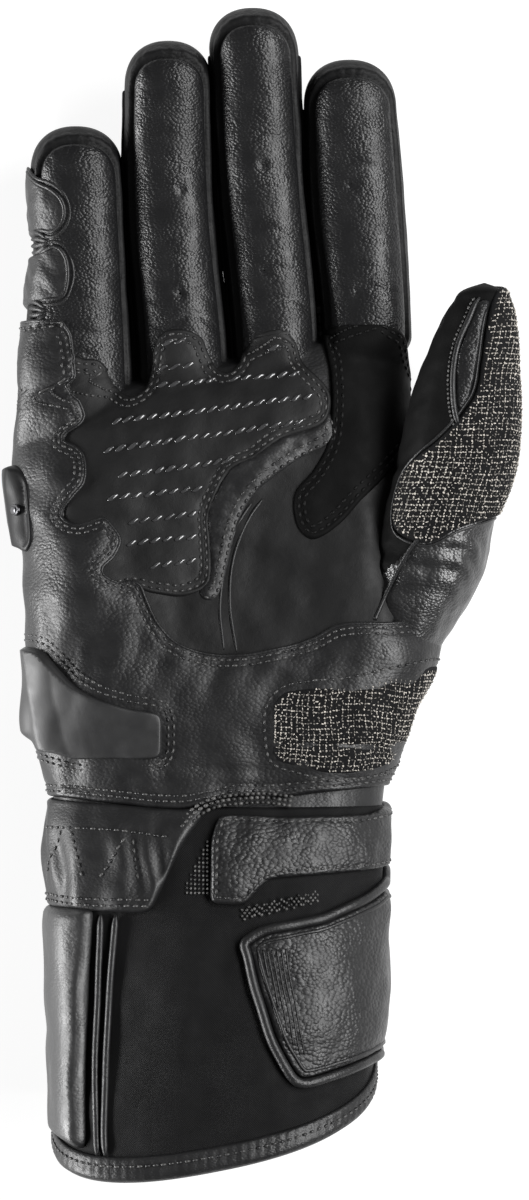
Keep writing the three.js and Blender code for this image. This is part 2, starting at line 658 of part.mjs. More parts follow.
// Small slider on the edge of the hand, held by one rivet
const edgePlan = curved(
  palmOutline([
    [-58, 83], [-48.5, 83.8], [-46.2, 81], [-44.6, 73], [-44.4, 66], [-45.6, 61.5], [-48.5, 64], [-58, 66],
  ]),
);
const edgeTop = sliderFoot + EDGE_SLIDER_THICKNESS;
solids.edge_slider = applique(edgePlan, { from: sliderFoot, to: edgeTop, low: outerLow });
const rivetPlan = palmPlace(-47.6, 72.6);
const rivetDisc = Array.from({ length: 10 }, (_, i) => {
  const turn = (2 * Math.PI * i) / 10;
  return [rivetPlan[0] + RIVET_RADIUS * Math.cos(turn), rivetPlan[1] + RIVET_RADIUS * Math.sin(turn)];
});
solids.edge_slider_rivet = applique(rivetDisc, {
  from: edgeTop + SEAM_GAP,
  to: edgeTop + SEAM_GAP + RIVET_HEIGHT,
  low: PALM_DEPTH * 0.3,
});

// Gathered wrist panel on the little-finger side and the strap that closes over the wrist
const wristPanelPlan = palmOutline([
  [-62, -0.6], [-40, -0.8], [-20, -1.8], [-7, -3.2], [-1.6, -3.4], [-6, -9], [-10, -16], [-15, -27.5], [-30, -27.3],
  [-44, -26.4], [-62, -26],
]);
const wristStrapPlan = palmOutline([
  [-1.8, -9], [-1.2, -5.4], [0.3, -4], [18, -3.9], [35, -2.8], [44, 0], [70, 4], [70, -12], [44, -15.4], [28, -17.6],
  [12.5, -18.8], [10, -21.4], [7, -24.8], [-1, -24.8], [-2.2, -23.6],
]);
solids.wrist_panel = applique(wristPanelPlan, {
  to: SEAM_GAP + WRIST_PANEL_THICKNESS,
  low: outerLow,
  clear: [heelPlan, wristStrapPlan],
});
solids.wrist_strap = applique(wristStrapPlan, { to: SEAM_GAP + STRAP_THICKNESS, low: outerLow, clear: [heelPlan] });

// Cuff strap with a rolled binding round its free end
const CUFF_STRAP = [
  [6.9, 41], [8, 37.8], [10, 35.6], [12.8, 34.3], [27.9, 31], [41.6, 27.2], [46.5, 24], [60, 18.6], [60, 67.6],
  [49.4, 69.6], [44.2, 72.2], [32.6, 76], [23.6, 78], [20.2, 77.2], [17.5, 74.8], [13.5, 64.4], [9.8, 54.4],
  [7.5, 44],
];
const strapPlan = cuffOutline(CUFF_STRAP);
const strapInside = widened(strapPlan, -BINDING_WIDTH);
const strapField = widened(strapPlan, -BINDING_WIDTH - SEAM_GAP);
solids.cuff_strap = applique(strapField, { to: SEAM_GAP + STRAP_THICKNESS, low: outerLow, clear: [wristStrapPlan] });
solids.cuff_strap_binding = applique(strapPlan, {
  to: SEAM_GAP + BINDING_THICKNESS,
  low: outerLow,
  clear: [wristStrapPlan],
}).subtract(block(strapInside));

// Padded side of the cuff and the two welts beside it
const padRight = -0.366 * CUFF_WIDTH;
const padTop = wristY - PALM_LENGTH * 0.255;
const padBottom = HEM_SLOPE * padRight + HEM_HEIGHT - 0.915 * CUFF_LENGTH;
const sidePadPlan = [
  [-PALM_WIDTH, padTop],
  [padRight - 0.01 * CUFF_WIDTH, padTop],
  [padRight, padBottom + 0.02 * CUFF_LENGTH],
  [padRight - 0.04 * CUFF_WIDTH, padBottom - 0.01 * CUFF_LENGTH],
  [-0.46 * CUFF_WIDTH, padBottom + 0.03 * CUFF_LENGTH],
  [-PALM_WIDTH, padBottom + 0.12 * CUFF_LENGTH],
];
solids.cuff_side_pad = applique(sidePadPlan, { to: SEAM_GAP + SIDE_PAD_THICKNESS, low: CUFF_DEPTH * 0.2 });
const WELTS = [
  { name: "outer", across: -0.333 },
  { name: "inner", across: -0.3 },
];
for (const welt of WELTS) {
  const x = welt.across * CUFF_WIDTH;
  const top = padTop;
  const line = box(x - WELT_WIDTH / 2, x + WELT_WIDTH / 2, -REACH, top, CUFF_DEPTH / 2);
  solids[`cuff_welt_${welt.name}`] = coat(SEAM_GAP, SEAM_GAP + WELT_HEIGHT).intersect(line).subtract(aboveBinding);
}

// Materials
const black = (colour, roughness) => new THREE.MeshStandardMaterial({ color: colour, roughness, metalness: 0 });
const leather = black(0x1c1b1a, 0.45);
const suede = black(0x191919, 0.85);
const fabric = black(0x1e1f21, 0.9);
const grip = black(0x6d6a66, 0.8);
const rubber = black(0x2b2c2d, 0.55);
const steel = new THREE.MeshStandardMaterial({ color: 0x4a4a4a, roughness: 0.3, metalness: 0.8 });
const MATERIALS = {
  palm_grip_patch: suede,
  palm_inset: suede,
  index_patch: suede,
  heel_grip_panel: grip,
  thumb_grip_panel: grip,
  cuff_front: fabric,
  fourchette_little_ring: fabric,
  fourchette_ring_middle: fabric,
  fourchette_middle_index: fabric,
  palm_slider: rubber,
  edge_slider: rubber,
  edge_slider_rivet: steel,
};

const glove = new THREE.Group();
for (const [name, solid] of Object.entries(solids)) {
  const mesh = new THREE.Mesh(geometryOf(mainBody(solid)), MATERIALS[name] ?? leather);
  mesh.name = name;
  glove.add(mesh);
}

// The origin is under the middle of the glove, on the surface that it lies on.
const bounds = new THREE.Box3().setFromObject(glove, true);
const middle = bounds.getCenter(new THREE.Vector3());
glove.position.set(-middle.x, -middle.y, -bounds.min.z);

export default glove;
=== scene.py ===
"""Dresses the long-cuffed motorcycle glove: leathers, seams, grips, sliders, straps and the studio round it."""
import logging
import math
from dataclasses import dataclass
from enum import Enum
from typing import Callable, Iterable, Sequence

import bpy
import numpy as np
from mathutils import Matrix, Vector
from mathutils import geometry as flat_geometry


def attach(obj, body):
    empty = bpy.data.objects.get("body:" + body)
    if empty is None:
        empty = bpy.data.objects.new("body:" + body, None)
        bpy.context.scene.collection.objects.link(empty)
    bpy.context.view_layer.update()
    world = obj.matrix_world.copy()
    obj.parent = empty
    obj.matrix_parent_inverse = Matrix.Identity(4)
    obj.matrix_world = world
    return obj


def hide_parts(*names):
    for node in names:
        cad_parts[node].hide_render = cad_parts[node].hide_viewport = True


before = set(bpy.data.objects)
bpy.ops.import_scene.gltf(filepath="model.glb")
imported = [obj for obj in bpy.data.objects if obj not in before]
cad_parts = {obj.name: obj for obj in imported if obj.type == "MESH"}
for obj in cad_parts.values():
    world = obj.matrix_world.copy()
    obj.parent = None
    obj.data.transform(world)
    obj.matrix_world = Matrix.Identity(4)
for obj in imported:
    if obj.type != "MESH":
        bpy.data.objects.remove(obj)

LOG = logging.getLogger("glove")
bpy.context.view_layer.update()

# The plan drawings are made on a sheet whose unit is 0.28 mm, with y running down the page.
SHEET_UNIT = 0.28
SHEET_ORIGIN = (218.0, 800.0)
# From the pattern's own millimetres to the frame, whose origin lies under the middle of the glove.
FRAME_SHIFT = np.array([-12.152, -58.601, 0.0])
Array = np.ndarray
Socket = bpy.types.NodeSocket
Shade = tuple[float, float, float]
Relief = Callable[[Array, Array], Array]


def on_sheet(points: Iterable[Sequence[float]]) -> Array:
    """Turns points of the plan drawing into millimetres."""
    sheet = np.asarray(list(points), float)
    return np.stack([sheet[:, 0] - SHEET_ORIGIN[0], SHEET_ORIGIN[1] - sheet[:, 1]], axis=1) * SHEET_UNIT


def smooth(knots: Sequence[float], values: Array, at: Array) -> Array:
    """Evaluates a cubic curve through uneven knots.

    Args:
        knots: rising parameter of each value.
        values: one value or one row of values for each knot.
        at: parameters to evaluate at.

    Returns:
        The values there, held constant beyond the ends.
    """
    k = np.asarray(knots, float)
    v = np.asarray(values, float)
    flat = v.ndim == 1
    if flat:
        v = v[:, None]
    at = np.clip(np.asarray(at, float), k[0], k[-1])
    step = np.diff(k)[:, None]
    slope = np.diff(v, axis=0) / step
    inner = (slope[:-1] * step[1:] + slope[1:] * step[:-1]) / (step[1:] + step[:-1])
    tangent = np.concatenate([slope[:1], inner, slope[-1:]])
    i = np.clip(np.searchsorted(k, at, side="right") - 1, 0, len(k) - 2)
    h = step[i]
    t = ((at - k[i]) / (k[i + 1] - k[i]))[:, None]
    out = (
        v[i] * (1 + 2 * t) * (1 - t) ** 2
        + v[i + 1] * t * t * (3 - 2 * t)
        + tangent[i] * h * t * (1 - t) ** 2
        + tangent[i + 1] * h * t * t * (t - 1)
    )
    return out[:, 0] if flat else out


def even(points: Array, step: float, closed: bool = False) -> Array:
    """Resamples a line to even spacing.

    Args:
        points: the line.
        step: wanted spacing in millimetres.
        closed: whether the last point joins the first.

    Returns:
        The new line, without a repeated last point when it is closed.
    """
    line = np.vstack([points, points[:1]]) if closed else np.asarray(points, float)
    run = travelled(line)
    count = max(3, int(round(run[-1] / step)))
    at = np.linspace(0, run[-1], count + 1)
    out = np.stack([np.interp(at, run, line[:, c]) for c in range(line.shape[1])], axis=1)
    return out[:-1] if closed else out


def through(points: Array, step: float = 0.9, closed: bool = False) -> Array:
    """Draws a rounded curve through points.

    Args:
        points: control points.
        step: spacing of the result in millimetres.
        closed: whether the curve joins up.

    Returns:
        Evenly spaced points of the curve.
    """
    pts = np.asarray(points, float)
    if closed:
        pts = np.vstack([pts[-3:], pts, pts[:4]])
    gap = np.maximum(np.linalg.norm(np.diff(pts, axis=0), axis=1), 1e-6)
    knots = np.concatenate([[0.0], np.cumsum(np.sqrt(gap))])
    low, high = (knots[3], knots[-4]) if closed else (knots[0], knots[-1])
    fine = smooth(knots, pts, np.linspace(low, high, 40 * len(pts)))
    return even(fine[:-1] if closed else fine, step, closed)


def cornered(points: Array, radius: float, step: float = 0.9) -> Array:
    """Draws a closed outline of straight runs with rounded corners.

    Args:
        points: the corners.
        radius: how far from a corner its rounding starts, in millimetres.
        step: spacing of the result.

    Returns:
        Evenly spaced points of the outline.
    """
    pts = np.asarray(points, float)
    out = []
    for i, corner in enumerate(pts):
        before, after = pts[i - 1] - corner, pts[(i + 1) % len(pts)] - corner
        a = corner + before * min(0.45, radius / np.linalg.norm(before))
        b = corner + after * min(0.45, radius / np.linalg.norm(after))
        for t in np.linspace(0, 1, 6):
            out.append(a * (1 - t) ** 2 + corner * 2 * t * (1 - t) + b * t * t)
    return even(np.array(out), step, True)


def unit(vectors: Array) -> Array:
    """Scales vectors to length one."""
    return vectors / np.maximum(np.linalg.norm(vectors, axis=-1), 1e-9)[..., None]


def travelled(line: Array) -> Array:
    """Distance along a line at each of its points."""
    return np.concatenate([[0.0], np.cumsum(np.linalg.norm(np.diff(line, axis=0), axis=1))])


def area(loop: Array) -> float:
    """Signed area of a closed outline, positive when it turns anticlockwise."""
    x, y = loop[:, 0], loop[:, 1]
    return 0.5 * float(np.sum(x * np.roll(y, -1) - y * np.roll(x, -1)))


def distance(points: Array, line: Array, closed: bool = True) -> Array:
    """Distance of each point from a line.

    Args:
        points: the points, in plan.
        line: corners of the line.
        closed: whether the line joins up.

    Returns:
        One distance for each point.
    """
    a = line if closed else line[:-1]
    b = np.roll(line, -1, axis=0) if closed else line[1:]
    along = b - a
    length = np.maximum((along**2).sum(1), 1e-9)
    out = np.empty(len(points))
    for start in range(0, len(points), 4000):
        part = points[start : start + 4000]
        away = part[:, None, :] - a[None]
        t = np.clip((away * along).sum(2) / length, 0, 1)
        out[start : start + 4000] = np.sqrt(((away - t[..., None] * along) ** 2).sum(2).min(1))
    return out


def inside(points: Array, loop: Array) -> Array:
    """Tells which points lie inside a closed outline.

    Args:
        points: the points, in plan.
        loop: corners of the outline.

    Returns:
        True for each point inside.
    """
    x1, y1 = loop[:, 0], loop[:, 1]
    x2, y2 = np.roll(x1, -1), np.roll(y1, -1)
    out = np.zeros(len(points), bool)
    for start in range(0, len(points), 4000):
        px = points[start : start + 4000, 0][:, None]
        py = points[start : start + 4000, 1][:, None]
        crosses = (y1 > py) != (y2 > py)
        rise = np.where(np.abs(y2 - y1) < 1e-12, 1e-12, y2 - y1)
        left = px < (x2 - x1) * (py - y1) / rise + x1
        out[start : start + 4000] = (crosses & left).sum(1) % 2 == 1
    return out


def inset(loop: Array, depth: float) -> list[Array]:
    """Finds the lines that run a set distance inside a closed outline.

    Args:
        loop: corners of the outline, evenly spaced.
        depth: distance in millimetres, negative for outside.

    Returns:
        The runs that keep that distance, each a line.
    """
    turn = 1.0 if area(loop) > 0 else -1.0
    along = np.roll(loop, -1, axis=0) - np.roll(loop, 1, axis=0)
    along /= np.maximum(np.linalg.norm(along, axis=1), 1e-9)[:, None]
    inward = np.stack([-along[:, 1], along[:, 0]], axis=1) * turn
    moved = loop + inward * depth
    good = distance(moved, loop) > abs(depth) * 0.96
    if good.all():
        return [np.vstack([moved, moved[:1]])]
    start = int(np.argmin(good))
    moved, good = np.roll(moved, -start, axis=0), np.roll(good, -start)
    runs: list[Array] = []
    current: list[Array] = []
    for point, keep in zip(moved, good):
        if keep:
            current.append(point)
        elif current:
            runs.append(np.array(current))
            current = []
    if current:
        runs.append(np.array(current))
    return [run for run in runs if len(run) > 4]


def outside(line: Array, loop: Array) -> list[Array]:
    """Finds the parts of a line that lie outside an outline."""
    return [run for run in stretches(~inside(line, loop)) if len(run) > 4]


def stretches(mask: Array) -> list[Array]:
    """Splits the places where a mask holds into unbroken runs."""
    index = np.flatnonzero(mask)
    return np.split(index, np.flatnonzero(np.diff(index) > 1) + 1)


def ripple(x: Array, y: Array, wave: float, seed: int, count: int = 9) -> Array:
    """Soft uneven swelling, as worn leather has.

    Args:
        x: first coordinate in millimetres.
        y: second coordinate in millimetres.
        wave: typical length of a swell in millimetres.
        seed: fixed seed of the directions.
        count: number of waves that are added up.

    Returns:
        Heights between about -1 and 1.
    """
    rng = np.random.default_rng(seed)
    total = np.zeros(np.broadcast(x, y).shape)
    for _ in range(count):
        turn, phase = rng.uniform(0, 2 * math.pi, 2)
        size = wave * rng.uniform(0.6, 1.7)
        total += np.sin((x * math.cos(turn) + y * math.sin(turn)) * 2 * math.pi / size + phase)
    return total / math.sqrt(count)


def bell(x: Array, width: float) -> Array:
    """A soft bump of height one round zero."""
    return np.exp(-((x / width) ** 2))


def ramp(x: Array, low: float, high: float) -> Array:
    """A smooth step from 0 at low to 1 at high."""
    t = np.clip((x - low) / (high - low), 0, 1)
    return t * t * (3 - 2 * t)


class Stock:
    """Collects the points and faces of one mesh."""

    def __init__(self) -> None:
        """Starts empty."""
        self.points: list[Array] = []
        self.faces: list[Array] = []
        self.count = 0

    def add(self, points: Array, *faces: Array) -> int:
        """Adds points with their faces.

        Args:
            points: positions in millimetres.
            faces: arrays of triangles or quads that count from the first of these points.

        Returns:
            The number of the first point.
        """
        first = self.count
        self.points.append(np.asarray(points, float).reshape(-1, 3))
        self.count += len(self.points[-1])
        for face in faces:
            if len(face):
                self.faces.append(np.asarray(face, int) + first)
        return first

    def build(self, name: str) -> bpy.types.Object:
        """Makes the Blender mesh, in metres and in the frame's place.

        Args:
            name: the piece's name.

        Returns:
            The new object.
        """
        points = (np.vstack(self.points) + FRAME_SHIFT) / 1000
        mesh = bpy.data.meshes.new(name)
        loops = np.concatenate([face.ravel() for face in self.faces])
        sizes = np.concatenate([np.full(len(face), face.shape[1]) for face in self.faces])
        mesh.vertices.add(len(points))
        mesh.vertices.foreach_set("co", points.astype(np.float32).ravel())
        mesh.loops.add(len(loops))
        mesh.loops.foreach_set("vertex_index", loops.astype(np.int32))
        mesh.polygons.add(len(sizes))
        mesh.polygons.foreach_set("loop_start", (np.cumsum(sizes) - sizes).astype(np.int32))
        mesh.polygons.foreach_set("use_smooth", np.ones(len(sizes), bool))
        mesh.update(calc_edges=True)
        mesh.validate()
        piece = bpy.data.objects.new(name, mesh)
        bpy.context.scene.collection.objects.link(piece)
        return piece


def net(rows: int, columns: int, closed: bool = False, flip: bool = False) -> Array:
    """Quads of a grid of points.

    Args:
        rows: number of rows.
        columns: points in each row.
        closed: whether each row joins up.
        flip: whether the faces turn the other way.

    Returns:
        One quad for each cell.
    """
    index = np.arange(rows * columns).reshape(rows, columns)
    after = np.roll(index, -1, axis=1) if closed else index[:, 1:]
    here = index if closed else index[:, :-1]
    quads = np.stack([here[:-1], after[:-1], after[1:], here[1:]], axis=-1).reshape(-1, 4)
    return quads[:, ::-1] if flip else quads


class Skin:
    """The outside of one form, rolled out flat: u runs round it from the middle of the palm side, v along it."""

    HALF = 110

    def __init__(self, v: Array, loops: Array, skew: Array | None = None) -> None:
        """Rolls the form out.

        Args:
            v: place of each section along the form.
            loops: sections as closed lines that start underneath and pass the little-finger side first.
            skew: slope, lean and crown height of each section, where it doesn't lie straight across.
        """
        self.v = np.asarray(v, float)
        self.skew = skew if skew is not None else np.zeros((len(v), 3))
        middle = loops.shape[1] // 2
        rows, left, right = [], [], []
        for loop in loops:
            sides = []
            for half in (loop[: middle + 1], loop[middle:]):
                run = travelled(half)
                at = np.linspace(0, run[-1], self.HALF + 1)
                sides.append(np.stack([np.interp(at, run, half[:, c]) for c in range(3)], axis=1))
                (left if half is not None and len(sides) == 1 else right).append(run[-1])
            rows.append(np.vstack([sides[0], sides[1][1:]]))
        self.grid = np.array(rows)
        self.left, self.right = np.maximum(left, 1e-3), np.maximum(right, 1e-3)
        self.refresh()

    def refresh(self) -> None:
        """Works out the normals and the table from plan to u again."""
        across = np.gradient(self.grid, axis=1)
        along = np.gradient(self.grid, self.v, axis=0)
        normal = np.cross(across, along)
        self.normal = unit(normal)
        share = np.linspace(-1, 1, 2 * self.HALF + 1)
        self.plan_x = np.arange(-110, 110, 0.5)
        table, edges = [], []
        for row, left, right in zip(self.grid, self.left, self.right):
            u = np.where(share < 0, share * left, share * right)
            low, high = int(np.argmin(row[:, 0])), int(np.argmax(row[:, 0]))
            if high <= low:
                low, high = self.HALF - 1, self.HALF + 1
            xs, us = row[low : high + 1, 0], u[low : high + 1]
            line = np.interp(self.plan_x, xs, us)
            line = np.where(self.plan_x < xs[0], us[0] - (xs[0] - self.plan_x), line)
            table.append(np.where(self.plan_x > xs[-1], us[-1] + (self.plan_x - xs[-1]), line))
            edges.append((us[0], us[-1]))
        self.table, self.edges = np.array(table), np.array(edges)

    def row_of(self, v: Array) -> Array:
        """Row number, with its fraction, of each place along the form."""
        return np.interp(v, self.v, np.arange(len(self.v)))

    def place(self, u: Array, v: Array) -> tuple[Array, Array]:
        """Row and column, with fractions, of a rolled-out place."""
        row = self.row_of(v)
        index = np.arange(len(self.v))
        reach = np.where(u < 0, np.interp(row, index, self.left), np.interp(row, index, self.right))
        return row, (np.clip(u / reach, -1, 1) + 1) * self.HALF

    def sample(self, grid: Array, row: Array, column: Array) -> Array:
        """Smoothly interpolates one of the grids.

        Args:
            grid: points or normals of the form.
            row: row numbers with fractions.
            column: column numbers with fractions.

        Returns:
            One row of values for each place.
        """
        out = 0.0
        r, c = np.floor(row).astype(int), np.floor(column).astype(int)
        fr, fc = row - r, column - c
        weights = []
        for f in (fr, fc):
            weights.append(
                (
                    -0.5 * f + f * f - 0.5 * f**3,
                    1 - 2.5 * f * f + 1.5 * f**3,
                    0.5 * f + 2 * f * f - 1.5 * f**3,
                    -0.5 * f * f + 0.5 * f**3,
                )
            )
        for i in range(4):
            ri = np.clip(r + i - 1, 0, grid.shape[0] - 1)
            for j in range(4):
                cj = np.clip(c + j - 1, 0, grid.shape[1] - 1)
                out = out + grid[ri, cj] * (weights[0][i] * weights[1][j])[:, None]
        return out

    def at(self, u: Array, v: Array, lift: Array | float = 0.0) -> Array:
        """Point over a rolled-out place.

        Args:
            u: distance round the form in millimetres.
            v: place along the form.
            lift: height over the surface.

        Returns:
            Positions in millimetres.
        """
        u, v = np.broadcast_arrays(np.asarray(u, float), np.asarray(v, float))
        row, column = self.place(u.ravel(), v.ravel())
        points = self.sample(self.grid, row, column)
        normals = unit(self.sample(self.normal, row, column))
        return points + normals * np.broadcast_to(lift, u.shape).ravel()[:, None]

    def facing(self, u: Array, v: Array) -> Array:
        """Outward direction at a rolled-out place."""
        return unit(self.sample(self.normal, *self.place(np.ravel(u), np.ravel(v))))

    def unroll(self, plan: Array) -> Array:
        """Finds the rolled-out places of points drawn in plan. Beyond the silhouette x goes on round the side.

        Args:
            plan: x and y in millimetres.

        Returns:
            u and v of each point.
        """
        x, y = plan[:, 0], plan[:, 1]
        v = y.copy()
        index = np.arange(len(self.v))
        column = np.clip((x - self.plan_x[0]) / 0.5, 0, len(self.plan_x) - 1.001)
        c = column.astype(int)
        for _ in range(8):
            row = self.row_of(v)
            r = np.clip(row.astype(int), 0, len(self.v) - 2)
            fr, fc = row - r, column - c
            low = self.table[r, c] * (1 - fc) + self.table[r, c + 1] * fc
            high = self.table[r + 1, c] * (1 - fc) + self.table[r + 1, c + 1] * fc
            u = low * (1 - fr) + high * fr
            spot = self.at(u, v)
            slope, lean, crown = (np.interp(row, index, self.skew[:, i]) for i in range(3))
            v = y - slope * spot[:, 0] - lean * (crown - spot[:, 2])
        return np.stack([u, v], axis=1)

    def edge(self, v: Array) -> Array:
        """Rolled-out place of the little-finger side's silhouette along the form."""
        return np.interp(v, self.v, self.edges[:, 0])

    def swell(self, height: Array) -> None:
        """Moves the surface out by a height for each point of its grid."""
        self.grid = self.grid + self.normal * height[..., None]
        self.refresh()

    def flat_grid(self) -> tuple[Array, Array]:
        """The u and v of every point of the grid."""
        share = np.linspace(-1, 1, 2 * self.HALF + 1)[None]
        u = np.where(share < 0, share * self.left[:, None], share * self.right[:, None])
        return u, np.repeat(self.v[:, None], u.shape[1], axis=1)


def section(
    y: float, left: float, right: float, back: float, palm: float, round_palm: float, round_back: float,
    cup: float = 0.0, rest: float = 0.0, slope: float = 0.0, lean: float = 0.0, count: int = 400,
) -> Array:
    """One closed section of a form, from underneath round the little-finger side.

    Args:
        y: place along the glove.
        left: x of the little-finger side.
        right: x of the thumb side.
        back: lowest z.
        palm: highest z.
        round_palm: squareness of the upper half.
        round_back: squareness of the lower half.
        cup: depth of the hollow of the palm.
        rest: height of the flattened underside.
        slope: how far the section runs up the glove for each millimetre across.
        lean: and for each millimetre down from its crown.
        count: number of points.

    Returns:
        The points of the section, the last one equal to the first.
    """
    turn = -math.pi / 2 - np.linspace(0, 2 * math.pi, count + 1)
    across, up = np.cos(turn), np.sin(turn)
    exponent = np.where(up > 0, 2 / round_palm, 2 / round_back)
    x = (left + right) / 2 + (right - left) / 2 * np.sign(across) * np.abs(across) ** exponent
    dip = cup * np.maximum(0, up) ** 2 * np.maximum(0, 1 - 2 * across**2)
    z = (palm + back) / 2 + (palm - back) / 2 * np.sign(up) * np.abs(up) ** exponent - dip
    z = np.maximum(rest, z)
    return np.stack([x, y + slope * x + lean * (palm - z), z], axis=1)


@dataclass
class Hand:
    """Sizes of the hand and cuff, and the rolled-out skins that every leather is laid on."""

    palm_width: float = 112.0
    palm_length: float = 112.0
    palm_depth: float = 50.0
    knuckle_slope: float = 0.23
    finger_depth: float = 26.0
    finger_curl: float = 13.0
    cuff_width: float = 98.0
    cuff_length: float = 101.0
    cuff_depth: float = 58.0
    hem_slope: float = 0.19
    hem_lean: float = 0.45
    thumb_length: float = 94.0
    thumb_width: float = 32.0
    thumb_depth: float = 34.0
    thumb_lift: float = 16.0
    # along, left, right, back, palm, slope, lean, cup, rest; each a share of the size it belongs to
    cuff_rows: tuple[tuple[float, ...], ...] = (
        (1, -0.463, 0.44, -0.05, 0.98, 1, 1, 0, 1),
        (0.6, -0.463, 0.466, -0.05, 0.96, 0.5, 0.45, 0, 1),
        (0.3, -0.475, 0.466, -0.01, 0.9, 0.15, 0.15, 0, 1),
        (0.09, -0.482, 0.47, 0.06, 0.83, 0, 0, 0, 1),
    )
    palm_rows: tuple[tuple[float, ...], ...] = (
        (0, -0.41, 0.415, 0.09, 0.92, 0, 0, 0.02, 1),
        (0.26, -0.455, 0.492, 0.06, 0.98, 0, 0, 0.08, 0.8),
        (0.38, -0.465, 0.55, 0.03, 0.98, 0, 0, 0.12, 0.5),
        (0.5, -0.47, 0.53, -0.01, 0.95, 0, 0, 0.15, 0.2),
        (0.63, -0.478, 0.5, -0.04, 0.88, 0.2, 0, 0.14, 0),
        (0.81, -0.497, 0.48, -0.05, 0.77, 0.6, 0, 0.08, 0),
        (1, -0.5, 0.477, -0.04, 0.63, 1, 0, 0.02, 0),
        (1.09, -0.492, 0.478, -0.01, 0.52, 1, 0, 0, 0),
    )
    # name, length, then centre and width at the root, the middle joint and the tip
    finger_rows: tuple[tuple, ...] = (
        ("little", 77.0, -0.362, -0.35, -0.359, 0.296, 0.242, 0.234),
        ("ring", 93.6, -0.089, -0.122, -0.126, 0.236, 0.23, 0.218),
        ("middle", 96.7, 0.146, 0.107, 0.086, 0.224, 0.226, 0.223),
        ("index", 76.5, 0.373, 0.345, 0.329, 0.232, 0.246, 0.231),
    )
    # along, across, width, depth, lift
    thumb_rows: tuple[tuple[float, ...], ...] = (
        (-0.11, -0.09, 0.62, 0.75, 0),
        (0, 0, 0.86, 0.94, 0),
        (0.12, 0.12, 1.02, 1, 0.1),
        (0.28, 0.245, 1.02, 0.99, 0.3),
        (0.44, 0.37, 1.01, 0.91, 0.5),
        (0.6, 0.445, 0.95, 0.83, 0.66),
        (0.74, 0.5, 0.82, 0.72, 0.8),
        (0.86, 0.56, 0.64, 0.58, 0.91),
        (0.94, 0.61, 0.48, 0.46, 0.96),
        (0.985, 0.64, 0.27, 0.27, 1),
        (1, 0.65, 0.01, 0.01, 1),
    )

    def __post_init__(self) -> None:
        """Rolls out the body, the fingers and the thumb."""
        self.fingers = {row[0]: self.finger_skin(row) for row in self.finger_rows}
        self.body = self.body_skin()
        self.thumb = self.thumb_skin()

    def knuckle(self, x: Array | float) -> Array | float:
        """Place of the knuckle line over an x."""
        return 1.09 * self.palm_length + self.knuckle_slope * x

    def finger_height(self, y: Array) -> Array:
        """Height of the fingers' centre line, which curls up towards the tips."""
        share = np.clip((y - self.knuckle(0.0)) / 96.7, 0, 1)
        return self.finger_depth * 0.545 + self.finger_curl * share**1.6

    def finger_shape(self, row: tuple, y: Array) -> tuple[Array, Array, Array, Array]:
        """Centre, half width, height and half depth of a finger.

        Args:
            row: the finger's row of the table.
            y: places along the glove.

        Returns:
            Four arrays, without the rounding of the tip.
        """
        _, length, *shares = row
        share = (y - self.knuckle(shares[0] * self.palm_width)) / length
        knots = [-0.2, 0, 0.5, 1, 1.1]
        centre = smooth(knots, np.array([shares[0], *shares[:3], shares[2]]), share) * self.palm_width
        width = smooth(knots, np.array([shares[3], *shares[3:], shares[5]]), share) * self.palm_width
        depth = self.finger_depth * (1.03 - 0.13 * np.clip(share, 0, 1))
        return centre, width / 2, self.finger_height(y), depth / 2

    def finger_skin(self, row: tuple) -> Skin:
        """Rolls out one finger, from inside the palm to its rounded tip."""
        _, length, *shares = row
        start = self.knuckle(shares[0] * self.palm_width)
        dome = shares[5] * self.palm_width / 2
        straight = np.arange(start - 12, start + length - dome, 1.0)
        turn = np.linspace(0, 1, 26)[1:]
        bend = start + length - dome + dome * np.sin(turn * math.pi / 2)
        y = np.concatenate([straight, bend])
        past = np.clip((y - (start + length - dome)) / dome, 0, 1)
        shrink = np.maximum((1 - past**2.25) ** (1 / 2.25), 0.004)
        centre, half, height, deep = self.finger_shape(row, y)
        loops = [
            section(a, c - h * s, c + h * s, z - d * s, z + d * s, 2.25, 2.25)
            for a, c, h, z, d, s in zip(y, centre, half, height, deep, shrink)
        ]
        return Skin(y, np.array(loops))

    def roots(self, x: Array, y: Array) -> Array:
        """Height of the tops of the fingers where they leave the palm, and far below between them."""
        top = np.full(x.shape, -50.0)
        for row in self.finger_rows:
            centre, half, height, deep = self.finger_shape(row, y)
            share = np.abs(x - centre) / half
            crown = height + deep * np.maximum(0, 1 - share**2.25) ** (1 / 2.25)
            top = np.where(share < 1, np.maximum(top, crown), top)
        return top

